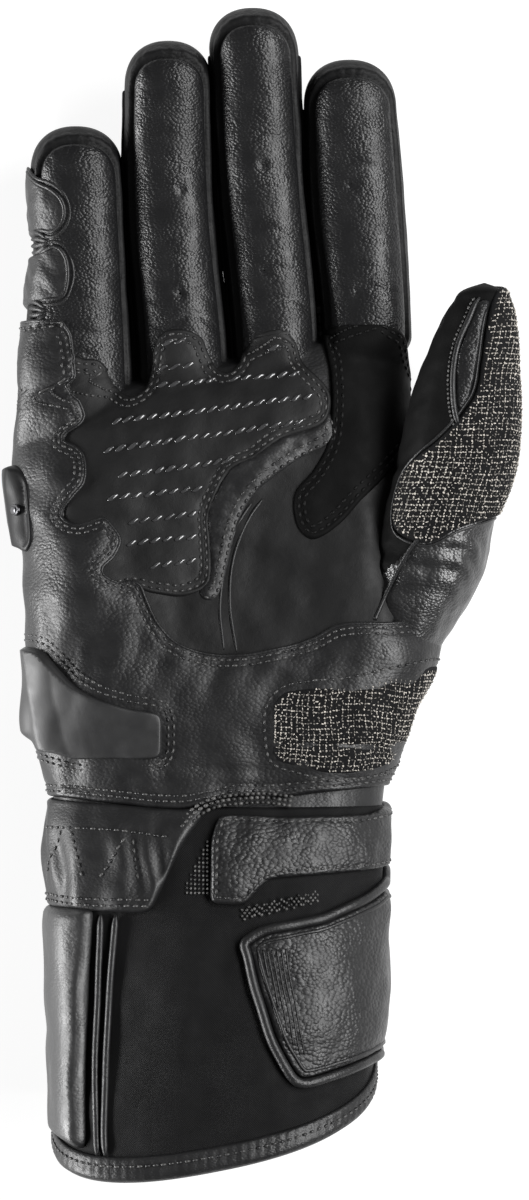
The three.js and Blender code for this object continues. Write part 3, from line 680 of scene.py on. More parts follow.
    def body_skin(self) -> Skin:
        """Rolls out the hand and cuff, with the roots of the fingers rising out of the palm."""
        table, knots = [], []
        for along, left, right, back, palm, slope, lean, cup, rest in self.cuff_rows:
            knots.append(-along * self.cuff_length)
            table.append((left * self.cuff_width, right * self.cuff_width, back * self.cuff_depth,
                          palm * self.cuff_depth, 2.4, 2.9, cup, rest * 1.5, slope * self.hem_slope,
                          lean * self.hem_lean))
        for along, left, right, back, palm, slope, lean, cup, rest in self.palm_rows:
            knots.append(along * self.palm_length)
            table.append((left * self.palm_width, right * self.palm_width, back * self.palm_depth,
                          palm * self.palm_depth, 2.4, 2.7, cup * self.palm_depth, rest * 1.5,
                          slope * self.knuckle_slope, lean))
        v = np.arange(-self.cuff_length, 152.01, 1.0)
        end = knots[-1]
        values = smooth(knots, np.array(table), np.minimum(v, end))
        loops = []
        for place, row in zip(v, values):
            loop = section(place, *row[:6], cup=row[6], rest=row[7], slope=row[8], lean=row[9])
            over = loop[:, 2] > 13
            x, y = loop[:, 0], loop[:, 1]
            past = max(0.0, place - end)
            plain = loop[:, 2] - 2.2 * past
            tops = self.roots(x, y) - 9 * (1 - ramp(y - self.knuckle(x), -22, -2))
            mix = np.clip(0.5 + 0.5 * (tops - plain) / 2.4, 0, 1)
            joined = plain * (1 - mix) + tops * mix + 2.4 * mix * (1 - mix)
            loop[:, 2] = np.where(over, np.maximum(joined, 13), loop[:, 2])
            loops.append(loop)
        skin = Skin(v, np.array(loops), values[:, [8, 9, 3]])
        u, w = skin.flat_grid()
        calm = ramp(w, -95, -80) * (1 - ramp(w, 112, 122))
        skin.swell(1.7 * bell(w - 12, 10) * ramp(-u, 38, 56) * ramp(u, -110, -90))
        skin.swell((0.32 * ripple(u, w, 30, 3) + 0.14 * ripple(u, w, 11, 4)) * calm * ramp(-np.abs(u), -112, -95))
        return skin

    def thumb_skin(self) -> Skin:
        """Rolls out the thumb."""
        rows = np.array(self.thumb_rows)
        knots = rows[:, 0]
        share = np.concatenate([np.arange(-0.11, 0.9, 0.011), 0.9 + 0.1 * np.sin(np.linspace(0, 1, 18) * math.pi / 2)])
        across, width, depth, lift = smooth(knots, rows[:, 1:], share).T
        x = 0.4775 * self.palm_width + across * self.thumb_width
        y = 0.45 * self.palm_length + share * self.thumb_length
        z = 0.52 * self.palm_depth + lift * self.thumb_lift
        wide, deep = np.maximum(width, 0.008) * self.thumb_width / 2, np.maximum(depth, 0.008) * self.thumb_depth / 2
        loops = [
            section(b, a - w, a + w, c - d, c + d, 2.3, 2.3) for a, b, c, w, d in zip(x, y, z, wide, deep)
        ]
        skin = Skin(y, np.array(loops))
        u, w = skin.flat_grid()
        skin.swell(0.3 * ripple(u, w, 22, 8) * ramp(-w, -(y[-1] - 6), -(y[-1] - 25)))
        return skin


@dataclass(frozen=True)
class Finish:
    """What every finish shares: its name, two shades, how rough it is and its slot."""

    name: str
    slot: str
    dark: Shade = (0.006, 0.006, 0.0065)
    light: Shade = (0.012, 0.012, 0.0125)
    rough: tuple[float, float] = (0.36, 0.5)
    specular: float = 0.5

    def relief(self, kit: "Shading") -> Socket:
        """Height of the surface in millimetres."""
        return kit.scaled(kit.noise(3.0, 3), 0.05)

    def tint(self, kit: "Shading") -> Socket:
        """Share of the lighter shade."""
        return kit.noise(9.0, 3)

    def settle(self, shader: bpy.types.Node) -> None:
        """Sets the values that are the same all over."""
        shader.inputs["Specular IOR Level"].default_value = self.specular

    def material(self) -> bpy.types.Material:
        """Builds the Blender material, once for each finish."""
        if self.name in bpy.data.materials:
            return bpy.data.materials[self.name]
        material = bpy.data.materials.new(self.name)
        material.use_nodes = True
        kit = Shading(material)
        shader = kit.shader
        self.settle(shader)
        kit.link(kit.blend(self.tint(kit), self.dark, self.light), shader.inputs["Base Color"])
        kit.link(kit.ranged(kit.noise(5.0, 2), 0.3, 0.7, *self.rough), shader.inputs["Roughness"])
        bump = kit.node("ShaderNodeBump")
        bump.inputs["Distance"].default_value = 0.001
        kit.link(self.relief(kit), bump.inputs["Height"])
        kit.link(bump.outputs["Normal"], shader.inputs["Normal"])
        return material


class Shading:
    """Short words for the nodes of one material. Lengths are in millimetres."""

    def __init__(self, material: bpy.types.Material) -> None:
        """Takes over a material's node tree."""
        self.tree = material.node_tree
        self.shader = next(node for node in self.tree.nodes if node.type == "BSDF_PRINCIPLED")
        self.place = self.node("ShaderNodeTexCoord").outputs["Object"]

    def node(self, kind: str) -> bpy.types.Node:
        """Adds a node."""
        return self.tree.nodes.new(kind)

    def link(self, source: Socket, target: Socket) -> None:
        """Joins two sockets."""
        self.tree.links.new(source, target)

    def stretched(self, x: float, y: float, z: float, turn: float = 0.0) -> Socket:
        """Object coordinates, stretched along each axis and turned about z.

        Args:
            x: length of the pattern's unit across.
            y: and along.
            z: and in height.
            turn: angle in radians.

        Returns:
            The coordinates.
        """
        mapping = self.node("ShaderNodeMapping")
        mapping.inputs["Rotation"].default_value = (0, 0, turn)
        mapping.inputs["Scale"].default_value = (1000 / x, 1000 / y, 1000 / z)
        self.link(self.place, mapping.inputs["Vector"])
        return mapping.outputs["Vector"]

    def noise(self, size: float, detail: float = 2.0, flat: float = 1.0) -> Socket:
        """Soft cloud between 0 and 1 whose swells are a size long."""
        node = self.node("ShaderNodeTexNoise")
        node.inputs["Scale"].default_value = 1.0
        node.inputs["Detail"].default_value = detail
        self.link(self.stretched(size, size / flat, size), node.inputs["Vector"])
        return node.outputs["Fac"]

    def cells(self, x: float, y: float, feature: str = "F1") -> Socket:
        """Irregular cells, as the pebbles of leather."""
        node = self.node("ShaderNodeTexVoronoi")
        node.feature = feature
        node.inputs["Scale"].default_value = 1.0
        self.link(self.stretched(x, y, x), node.inputs["Vector"])
        return node.outputs["Distance"]

    def waves(self, size: float, turn: float) -> Socket:
        """Even ribs across one direction."""
        node = self.node("ShaderNodeTexWave")
        node.inputs["Scale"].default_value = 1.0
        self.link(self.stretched(size * 3.2, size * 3.2, size * 3.2, turn), node.inputs["Vector"])
        return node.outputs["Fac"]

    def calc(self, operation: str, a: object, b: object = 0.0) -> Socket:
        """One sum of two sockets or numbers."""
        node = self.node("ShaderNodeMath")
        node.operation = operation
        for socket, value in zip(node.inputs, (a, b)):
            if isinstance(value, (int, float)):
                socket.default_value = value
            else:
                self.link(value, socket)
        return node.outputs[0]

    def scaled(self, value: Socket, by: float) -> Socket:
        """A socket times a number."""
        return self.calc("MULTIPLY", value, by)

    def ranged(self, value: Socket, low: float, high: float, to_low: float, to_high: float) -> Socket:
        """A socket moved from one range to another and kept inside it."""
        node = self.node("ShaderNodeMapRange")
        self.link(value, node.inputs["Value"])
        for name, number in (("From Min", low), ("From Max", high), ("To Min", to_low), ("To Max", to_high)):
            node.inputs[name].default_value = number
        return node.outputs["Result"]

    def blend(self, share: Socket, dark: Shade, light: Shade) -> Socket:
        """Mixes two colours by a share."""
        node = self.node("ShaderNodeMix")
        node.data_type = "RGBA"
        self.link(share, node.inputs["Factor"])
        node.inputs["A"].default_value = (*dark, 1)
        node.inputs["B"].default_value = (*light, 1)
        return node.outputs["Result"]

    def island(self) -> Socket:
        """One chance number for each separate bit of a mesh."""
        return self.node("ShaderNodeNewGeometry").outputs["Random Per Island"]


@dataclass(frozen=True)
class Grain(Finish):
    """Full-grain leather: pebbles with fine creases between them, and slow swells."""

    pebble: float = 0.85
    pebble_depth: float = 0.085
    crease_depth: float = 0.16

    def relief(self, kit: Shading) -> Socket:
        """Pebbles, creases and pores."""
        reach = kit.cells(self.pebble * 1.3, self.pebble * 0.9)
        pebbles = kit.ranged(kit.calc("MULTIPLY", reach, reach), 0.0, 0.55, self.pebble_depth, 0.0)
        patchy = kit.ranged(kit.noise(9.0, 2), 0.35, 0.65, 0.45, 1.0)
        creases = kit.scaled(kit.noise(6.0, 2, 0.6), self.crease_depth)
        pores = kit.scaled(kit.noise(0.5, 1), 0.015)
        return kit.calc("ADD", kit.calc("ADD", kit.calc("MULTIPLY", pebbles, patchy), creases), pores)


@dataclass(frozen=True)
class Nap(Finish):
    """Brushed or suede leather, matt with a short pile."""

    pile: float = 0.3

    def relief(self, kit: Shading) -> Socket:
        """Pile and slow swells."""
        return kit.calc("ADD", kit.scaled(kit.noise(self.pile, 2), 0.05), kit.scaled(kit.noise(6.0, 3), 0.3))

    def settle(self, shader: bpy.types.Node) -> None:
        """Adds the pile's sheen."""
        shader.inputs["Specular IOR Level"].default_value = self.specular
        shader.inputs["Sheen Weight"].default_value = 0.008
        shader.inputs["Sheen Roughness"].default_value = 0.4


@dataclass(frozen=True)
class Weave(Finish):
    """Cloth whose threads cross."""

    thread: float = 0.6
    depth: float = 0.05
    turn: float = 0.0

    def relief(self, kit: Shading) -> Socket:
        """Crossing threads and slow swells."""
        crossing = kit.calc("MULTIPLY", kit.waves(self.thread, self.turn), kit.waves(self.thread, self.turn + 1.571))
        return kit.calc("ADD", kit.scaled(crossing, self.depth), kit.scaled(kit.noise(8.0, 3), 0.3))

    def settle(self, shader: bpy.types.Node) -> None:
        """Keeps the threads matt."""
        shader.inputs["Specular IOR Level"].default_value = self.specular
        shader.inputs["Sheen Weight"].default_value = 0.005


@dataclass(frozen=True)
class Bits(Finish):
    """Threads or beads whose shade differs from one to the next."""

    def tint(self, kit: Shading) -> Socket:
        """One shade for each bit."""
        return kit.island()


@dataclass(frozen=True)
class Moulded(Finish):
    """Hard plastic or metal with a faint texture."""

    metal: float = 0.0

    def relief(self, kit: Shading) -> Socket:
        """Fine spark texture and wear."""
        return kit.calc("ADD", kit.scaled(kit.noise(0.4, 2), 0.02), kit.scaled(kit.noise(5.0, 2), 0.04))

    def settle(self, shader: bpy.types.Node) -> None:
        """Sets plastic or metal."""
        shader.inputs["Specular IOR Level"].default_value = self.specular
        shader.inputs["Metallic"].default_value = self.metal


class Look(Enum):
    """The finishes of the glove."""

    HIDE = Grain("hide", "leather")
    BACK_HIDE = Grain("back_hide", "leather", pebble=0.9, pebble_depth=0.07, rough=(0.48, 0.6), specular=0.18,
                      dark=(0.004, 0.004, 0.0042), light=(0.008, 0.008, 0.0083))
    PAD_HIDE = Grain("pad_hide", "leather", pebble=0.8, pebble_depth=0.05, crease_depth=0.3, rough=(0.42, 0.54),
                     specular=0.85)
    FINGER_HIDE = Grain("finger_hide", "leather", pebble=0.72, pebble_depth=0.13, crease_depth=0.06,
                        rough=(0.3, 0.4), specular=0.36)
    THUMB_HIDE = Grain("thumb_grain", "leather", pebble=0.8, pebble_depth=0.14, crease_depth=0.1,
                       rough=(0.32, 0.42), specular=0.85)
    SMOOTH_HIDE = Grain("smooth_hide", "leather", pebble=0.7, pebble_depth=0.05, crease_depth=0.3, rough=(0.4, 0.52))
    STRAP_HIDE = Grain("strap_hide", "leather", pebble=1.05, pebble_depth=0.2, rough=(0.38, 0.5))
    SUEDE = Nap("suede_nap", "suede", rough=(0.5, 0.65), specular=0.3, dark=(0.005, 0.005, 0.0051),
                light=(0.009, 0.009, 0.0092))
    INDEX_SUEDE = Nap("index_suede", "suede", rough=(0.6, 0.75), specular=0.08, dark=(0.0025, 0.0025, 0.0025),
                      light=(0.005, 0.005, 0.005))
    STRETCH = Weave("stretch_knit", "stretch", thread=0.5, rough=(0.7, 0.85), specular=0.15)
    CLOTH = Weave("cuff_weave", "cuff_cloth", thread=0.45, depth=0.09, rough=(0.6, 0.75), specular=0.16,
                  dark=(0.003, 0.003, 0.0032), light=(0.0065, 0.0065, 0.0068), turn=0.785)
    GROUND = Weave("grip_ground", "woven_grip", thread=0.8, rough=(0.7, 0.85), specular=0.08)
    BINDING = Grain("binding_hide", "binding", pebble=0.6, pebble_depth=0.06, crease_depth=0.15, rough=(0.38, 0.5))
    PLASTIC = Moulded("moulded", "moulded_plastic", rough=(0.44, 0.54), specular=0.75)
    DARK_PLASTIC = Moulded("dark_moulded", "moulded_plastic", rough=(0.36, 0.44), specular=0.22)
    STEEL = Moulded("blackened_steel", "rivet_steel", dark=(0.09, 0.09, 0.095), light=(0.16, 0.16, 0.165),
                    rough=(0.25, 0.35), metal=1.0)
    PRINT = Moulded("grip_print", "suede", dark=(0.03, 0.03, 0.031), light=(0.06, 0.06, 0.062),
                    rough=(0.1, 0.2), specular=1.0)
    THREAD = Bits("thread", "leather", dark=(0.012, 0.012, 0.013), light=(0.07, 0.069, 0.068), rough=(0.32, 0.45))
    DARK_THREAD = Bits("dark_thread", "leather", dark=(0.003, 0.003, 0.003), light=(0.008, 0.008, 0.008),
                       rough=(0.5, 0.65), specular=0.2)
    CORD = Bits("rope_cord", "binding", dark=(0.015, 0.015, 0.015), light=(0.12, 0.118, 0.115), rough=(0.35, 0.5))
    SPECKLE = Bits("speckle", "woven_grip", dark=(0.05, 0.047, 0.043), light=(0.62, 0.58, 0.52), rough=(0.45, 0.6))
    # Near-black, matt and without gloss: painted shade that fills the vent holes of the finger fronts.
    PAINTED_VENT_SHADE = Moulded("painted_vent_shade", "leather", dark=(0.001, 0.001, 0.001), light=(0.002, 0.002, 0.002), rough=(0.9, 1.0),
                   specular=0.0)


def dress(stock: Stock, name: str, look: Look, *nodes: str) -> bpy.types.Object:
    """Builds a piece, gives it its finish and hangs it on the body.

    Args:
        stock: the piece's mesh.
        name: its name.
        look: its finish.
        nodes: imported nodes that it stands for.

    Returns:
        The finished piece.
    """
    piece = stock.build(name)
    piece.data.materials.append(look.value.material())
    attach(piece, "root")
    if nodes:
        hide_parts(*nodes)
    LOG.info("%s: %d faces", name, len(piece.data.polygons))
    return piece


@dataclass
class Panel:
    """A piece of leather, cloth or plastic laid over a skin, with a rolled edge and a closed underside."""

    skin: Skin
    outline: Array
    thickness: float = 1.2
    edge: float = 1.1
    puff: float = 0.25
    base: float = 0.0
    sink: float = 0.5
    spacing: float = 1.0
    seams: tuple[float, ...] = ()
    seam_depth: float = 0.22
    relief: Relief | None = None

    def height(self, u: Array, v: Array, deep: Array | None = None) -> Array:
        """Height of the panel's top over the skin.

        Args:
            u: rolled-out place.
            v: rolled-out place.
            deep: distance from the outline, if it is known.

        Returns:
            Heights in millimetres.
        """
        spots = np.stack([u, v], axis=1)
        deep = distance(spots, self.outline) if deep is None else deep
        curve = np.sqrt(np.maximum(0, 1 - (1 - np.clip(deep / self.edge, 0, 1)) ** 2))
        top = self.base + self.thickness * curve + self.puff * (1 - np.exp(-((deep / 4) ** 2)))
        for seam in self.seams:
            top = top - self.seam_depth * bell(deep - seam, 0.55)
        if self.relief is not None:
            top = top + self.relief(u, v) * np.clip(deep / self.edge, 0, 1)
        return top

    def spots(self) -> Array:
        """Points that the panel's mesh is drawn through, inside its outline."""
        loop = self.outline
        found = []
        for share in (0.12, 0.35, 0.68, 1.0):
            found.extend(inset(loop, self.edge * share))
        for seam in self.seams:
            for shift in (-0.5, 0.0, 0.5):
                found.extend(inset(loop, seam + shift))
        low, high = loop.min(0), loop.max(0)
        rows = np.arange(low[1], high[1], self.spacing * 0.866)
        columns = np.arange(low[0], high[0], self.spacing)
        x, y = np.meshgrid(columns, rows)
        x = x + np.where(np.arange(len(rows)) % 2, self.spacing / 2, 0)[:, None]
        hexes = np.stack([x.ravel(), y.ravel()], axis=1)
        hexes = hexes[inside(hexes, loop)]
        clear = self.edge + 0.5 * self.spacing
        far = distance(hexes, loop)
        keep = far > clear
        for seam in self.seams:
            keep &= np.abs(far - seam) > 0.5 + 0.35 * self.spacing
        found.append(hexes[keep])
        spots = np.vstack(found)
        spots = spots[inside(spots, loop) & (distance(spots, loop) > self.edge * 0.08)]
        cell = np.round(spots / (0.3 * self.spacing)).astype(int)
        _, first = np.unique(cell, axis=0, return_index=True)
        return spots[np.sort(first)]

    def lay(self, stock: Stock) -> None:
        """Adds the panel to a mesh.

        Args:
            stock: the mesh to add to.
        """
        loop = self.outline if area(self.outline) > 0 else self.outline[::-1]
        spots = np.vstack([loop, self.spots()])
        count = len(loop)
        edges = [(i, (i + 1) % count) for i in range(count)]
        flat, _, faces, _, _, _ = flat_geometry.delaunay_2d_cdt(
            [Vector(p) for p in spots], edges, [list(range(count))], 1, 1e-6
        )
        flat = np.array([(p.x, p.y) for p in flat])
        tris = np.array([face for face in faces if len(face) == 3], int)
        a, b, c = flat[tris[:, 0]], flat[tris[:, 1]], flat[tris[:, 2]]
        turn = (b[:, 0] - a[:, 0]) * (c[:, 1] - a[:, 1]) - (b[:, 1] - a[:, 1]) * (c[:, 0] - a[:, 0])
        tris = np.where((turn < 0)[:, None], tris[:, ::-1], tris)
        u, v = flat[:, 0], flat[:, 1]
        top = self.skin.at(u, v, self.height(u, v))
        under = self.skin.at(u, v, self.base - self.sink)
        size = len(flat)
        pairs = np.vstack([tris[:, [0, 1]], tris[:, [1, 2]], tris[:, [2, 0]]])
        keys = {(int(p), int(q)) for p, q in pairs}
        rim = np.array([pair for pair in keys if (pair[1], pair[0]) not in keys])
        skirt = np.stack([rim[:, 1], rim[:, 0], rim[:, 0] + size, rim[:, 1] + size], axis=1)
        stock.add(np.vstack([top, under]), tris, tris[:, ::-1] + size, skirt)

    def make(self, name: str, look: "Look", *nodes: str) -> bpy.types.Object:
        """Builds the panel as one dressed piece."""
        stock = Stock()
        self.lay(stock)
        return dress(stock, name, look, *nodes)

    def track(self, depth: float) -> list[tuple[Array, Array]]:
        """Lines along the panel's edge, with their heights."""
        return [(run, self.height(*run.T)) for run in inset(self.outline, depth)]

    def stitch(self, threads: Stock, *depths: float) -> None:
        """Sews rows of stitches along the panel's edge."""
        for depth in depths:
            for line, lift in self.track(depth):
                sew(threads, self.skin, line, lift)


def sew(
    stock: Stock, skin: Skin, line: Array, lift: Array | float, pitch: float = 2.2, length: float = 1.75,
    thick: float = 0.36,
) -> None:
    """Sews a row of stitches.

    Args:
        stock: mesh that takes the stitches.
        skin: the surface under them.
        line: rolled-out line to follow.
        lift: height of the leather along the line.
        pitch: distance from stitch to stitch.
        length: length of one stitch.
        thick: radius of the thread.
    """
    run = travelled(line)
    count = int(run[-1] // pitch)
    if count < 1:
        return
    lifts = np.broadcast_to(lift, (len(line),))
    start = (np.arange(count) + 0.5) * (run[-1] / count) - length / 2
    at = start[:, None] + np.linspace(0, length, 5)[None]
    u, v, high = (np.interp(at.ravel(), run, values) for values in (*line.T, lifts))
    arch = np.tile([-0.35, 0.06, 0.16, 0.06, -0.35], count) * thick / 0.3
    centre = skin.at(u, v, high + arch).reshape(count, 5, 3)
    up = skin.facing(u, v).reshape(count, 5, 3)
    capsules(stock, centre, up, thick * np.array([0.35, 0.95, 1.0, 0.95, 0.35]))


def capsules(stock: Stock, centre: Array, up: Array, radius: Array, sides: int = 6, flat: float = 0.8) -> None:
    """Adds many short round rods.

    Args:
        stock: mesh that takes them.
        centre: middle line of each rod, as rods by points by xyz.
        up: outward direction at each point.
        radius: radius at each point of a rod.
        sides: corners of a rod.
        flat: height of a rod as a share of its width.
    """
    count, length, _ = centre.shape
    along = unit(np.gradient(centre, axis=1))
    side = unit(np.cross(along, up))
    over = np.cross(side, along)
    turn = np.linspace(0, 2 * math.pi, sides, endpoint=False)
    reach = np.broadcast_to(radius, (count, length))[..., None, None]
    across, high = np.cos(turn)[:, None], flat * np.sin(turn)[:, None]
    ring = centre[:, :, None] + reach * (side[:, :, None] * across + over[:, :, None] * high)
    size = length * sides
    template = net(length, sides, closed=True)
    caps = [list(range(sides))[::-1], list(range(size - sides, size))]
    shift = (np.arange(count) * size)[:, None, None]
    body = (template[None] + shift).reshape(-1, 4)
    ends = (np.array(caps)[None] + shift).reshape(-1, sides)
    stock.add(ring.reshape(-1, 3), body, ends)


def tube(
    stock: Stock, points: Array, radius: Array | float, sides: int = 10, closed: bool = False,
    up: Array | None = None, flat: float = 1.0,
) -> None:
    """Adds one round rod along a line.

    Args:
        stock: mesh that takes it.
        points: the line.
        radius: radius along it.
        sides: corners of its section.
        closed: whether its ends join.
        up: outward direction at each point.
        flat: height of its section as a share of its width.
    """
    along = np.roll(points, -1, 0) - np.roll(points, 1, 0) if closed else np.gradient(points, axis=0)
    along = unit(along)
    side = unit(np.cross(along, np.tile([0.0, 0.0, 1.0], (len(points), 1)) if up is None else up))
    over = np.cross(side, along)
    turn = np.linspace(0, 2 * math.pi, sides, endpoint=False)
    reach = np.broadcast_to(radius, (len(points),))[:, None, None]
    across, high = np.cos(turn)[:, None], flat * np.sin(turn)[:, None]
    ring = points[:, None] + reach * (side[:, None] * across + over[:, None] * high)
    faces = net(len(points), sides, closed=True)
    size = len(points) * sides
    if closed:
        last = np.arange(size - sides, size)
        first = np.arange(sides)
        joint = np.stack([last, np.roll(last, -1), np.roll(first, -1), first], axis=1)
        stock.add(ring.reshape(-1, 3), faces, joint)
    else:
        stock.add(ring.reshape(-1, 3), faces, np.array([list(range(sides))[::-1]]),
                  np.array([list(range(size - sides, size))]))


def piping(
    stock: Stock, skin: Skin, line: Array, lift: Array | float, radius: float, flat: float = 0.9, sides: int = 8
) -> None:
    """Lays a rounded cord of leather over a skin."""
    taper = np.minimum(1, np.minimum(np.arange(len(line)), np.arange(len(line))[::-1]) / 2 * 0.5 + 0.35)
    tube(stock, skin.at(*line.T, lift), radius * taper, sides, up=skin.facing(*line.T),
         flat=flat)


def shell(
    stock: Stock, skin: Skin, u: Array, v: Array, outer: Array, wall: float = 2.0
) -> None:
    """Adds a curved sheet of leather with its thickness.

    Args:
        stock: mesh that takes it.
        skin: surface that the sheet follows.
        u: rolled-out places, rows by columns.
        v: rolled-out places, rows by columns.
        outer: height of the outside at each place.
        wall: thickness.
    """
    rows, columns = u.shape
    top = skin.at(u, v, outer)
    low = skin.at(u, v, np.minimum(outer, 0) - wall)
    size = rows * columns
    index = np.arange(size).reshape(rows, columns)
    rim = np.concatenate([index[0], index[1:, -1], index[-1, -2::-1], index[-2:0:-1, 0]])
    after = np.roll(rim, -1)
    skirt = np.stack([after, rim, rim + size, after + size], axis=1)
    stock.add(np.vstack([top, low]), net(rows, columns), net(rows, columns, flip=True) + size, skirt)


def sock(skin: Skin, u: Array, v: Array, lift: Array, deep: float) -> Stock:
    """Makes a leather tube, closed over its tip and inside its root.

    Args:
        skin: the form that it covers.
        u: rolled-out places, rows by columns.
        v: rolled-out places, rows by columns.
        lift: height over the form.
        deep: how far under the skin the root closes.

    Returns:
        The mesh.
    """
    stock = Stock()
    rows, columns = u.shape
    stock.add(skin.at(u, v, lift), net(rows, columns, closed=True))
    tip, root = skin.at(np.zeros(1), skin.v[-1:]), skin.at(np.zeros(1), v[:1, 0]) - [0, 0, deep]
    hub = stock.add(np.vstack([tip, root]))
    around, last = np.arange(columns), (rows - 1) * columns
    after = np.roll(around, -1)
    stock.faces.append(np.stack([last + around, last + after, np.full(columns, hub)], axis=1))
    stock.faces.append(np.stack([after, around, np.full(columns, hub + 1)], axis=1))
    return stock


def wrapped(skin: Skin, points: Array, closed: bool = True, step: float = 0.9, corner: float = 0.0) -> Array:
    """Rolls out an outline that is drawn on the plan sheet."""
    plan = on_sheet(points)
    line = cornered(plan, corner, step) if corner else through(plan, step, closed)
    return even(skin.unroll(line), step, closed)


@dataclass
class HandShell:
    """The plain leathers under the trims: palm half and back half, and the nets that the cuff's cloth front and
    leather back are cut from.
    """

    hand: Hand
    wall: float = 2.0
    seam_height: float = 21.0
    palm_step: float = 1.0

    def seam_u(self, v: Array, side: int) -> Array:
        """Rolled-out place of the side seam on each row.

        Args:
            v: places along the glove.
            side: -1 for the little-finger side, 1 for the thumb side.

        Returns:
            The u of the seam.
        """
        skin = self.hand.body
        share = np.linspace(-1, 1, 2 * skin.HALF + 1)
        out = []
        for place in v:
            r = int(round(float(skin.row_of(np.array([place]))[0])))
            row = skin.grid[r]
            u = np.where(share < 0, share * skin.left[r], share * skin.right[r])
            low, high = int(np.argmin(row[:, 0])), int(np.argmax(row[:, 0]))
            height = np.interp(place, [-101, 0, 50, 95, 122, 139], [21, 21, 19, 17, 15, 14])
            half = slice(0, skin.HALF) if side < 0 else slice(skin.HALF, None)
            z, us = row[half, 2], u[half]
            if side > 0:
                z, us = z[::-1], us[::-1]
            top = int(np.argmax(z > height))
            out.append(us[top])
        return np.array(out)

    def sheet(self, v: Array, front: bool) -> tuple[Array, Array]:
        """Rolled-out net of the palm side or the back side.

        Args:
            v: places along the glove.
            front: whether it is the palm side.

        Returns:
            The u and v of the net.
        """
        left, right = smooth_line(self.seam_u(v, -1)), smooth_line(self.seam_u(v, 1))
        skin = self.hand.body
        rows = skin.row_of(v)
        index = np.arange(len(skin.v))
        girth_left, girth_right = np.interp(rows, index, skin.left), np.interp(rows, index, skin.right)
        count = 150
        t = np.linspace(0, 1, count)[None]
        if front:
            u = left[:, None] * (1 - t) + right[:, None] * t
        else:
            span = (girth_right - right + 0) + (girth_left + left)
            u = right[:, None] + t * span[:, None]
            u = np.where(u > girth_right[:, None], u - girth_right[:, None] - girth_left[:, None], u)
        return u, np.repeat(v[:, None], count, axis=1)

    def build(self) -> None:
        """Makes the palm half and the back half."""
        skin = self.hand.body
        v = np.arange(-3.0, 136.1, self.palm_step)
        u, w = self.sheet(v, True)
        lift = -1.3 * ramp(w, 119, 126) - 0.25
        stock = Stock()
        shell(stock, skin, u, w, lift, self.wall)
        dress(stock, "palm_shell", Look.SMOOTH_HIDE, "palm_leather")
        v = np.arange(-3.0, 124.1, 1.2 * self.palm_step)
        u, w = self.sheet(v, False)
        swell = 0.35 * bell(np.abs(w - 62), 30) * ripple(u, w, 24, 11)
        stock = Stock()
        shell(stock, skin, u, w, swell - 1.0 * ramp(w, 116, 123), self.wall)
        dress(stock, "back_shell", Look.HIDE, "back_leather")


def smooth_line(values: Array, times: int = 6) -> Array:
    """Takes the small steps out of a row of numbers."""
    out = values.copy()
    for _ in range(times):
        out[1:-1] = (out[:-2] + 2 * out[1:-1] + out[2:]) / 4
    return out


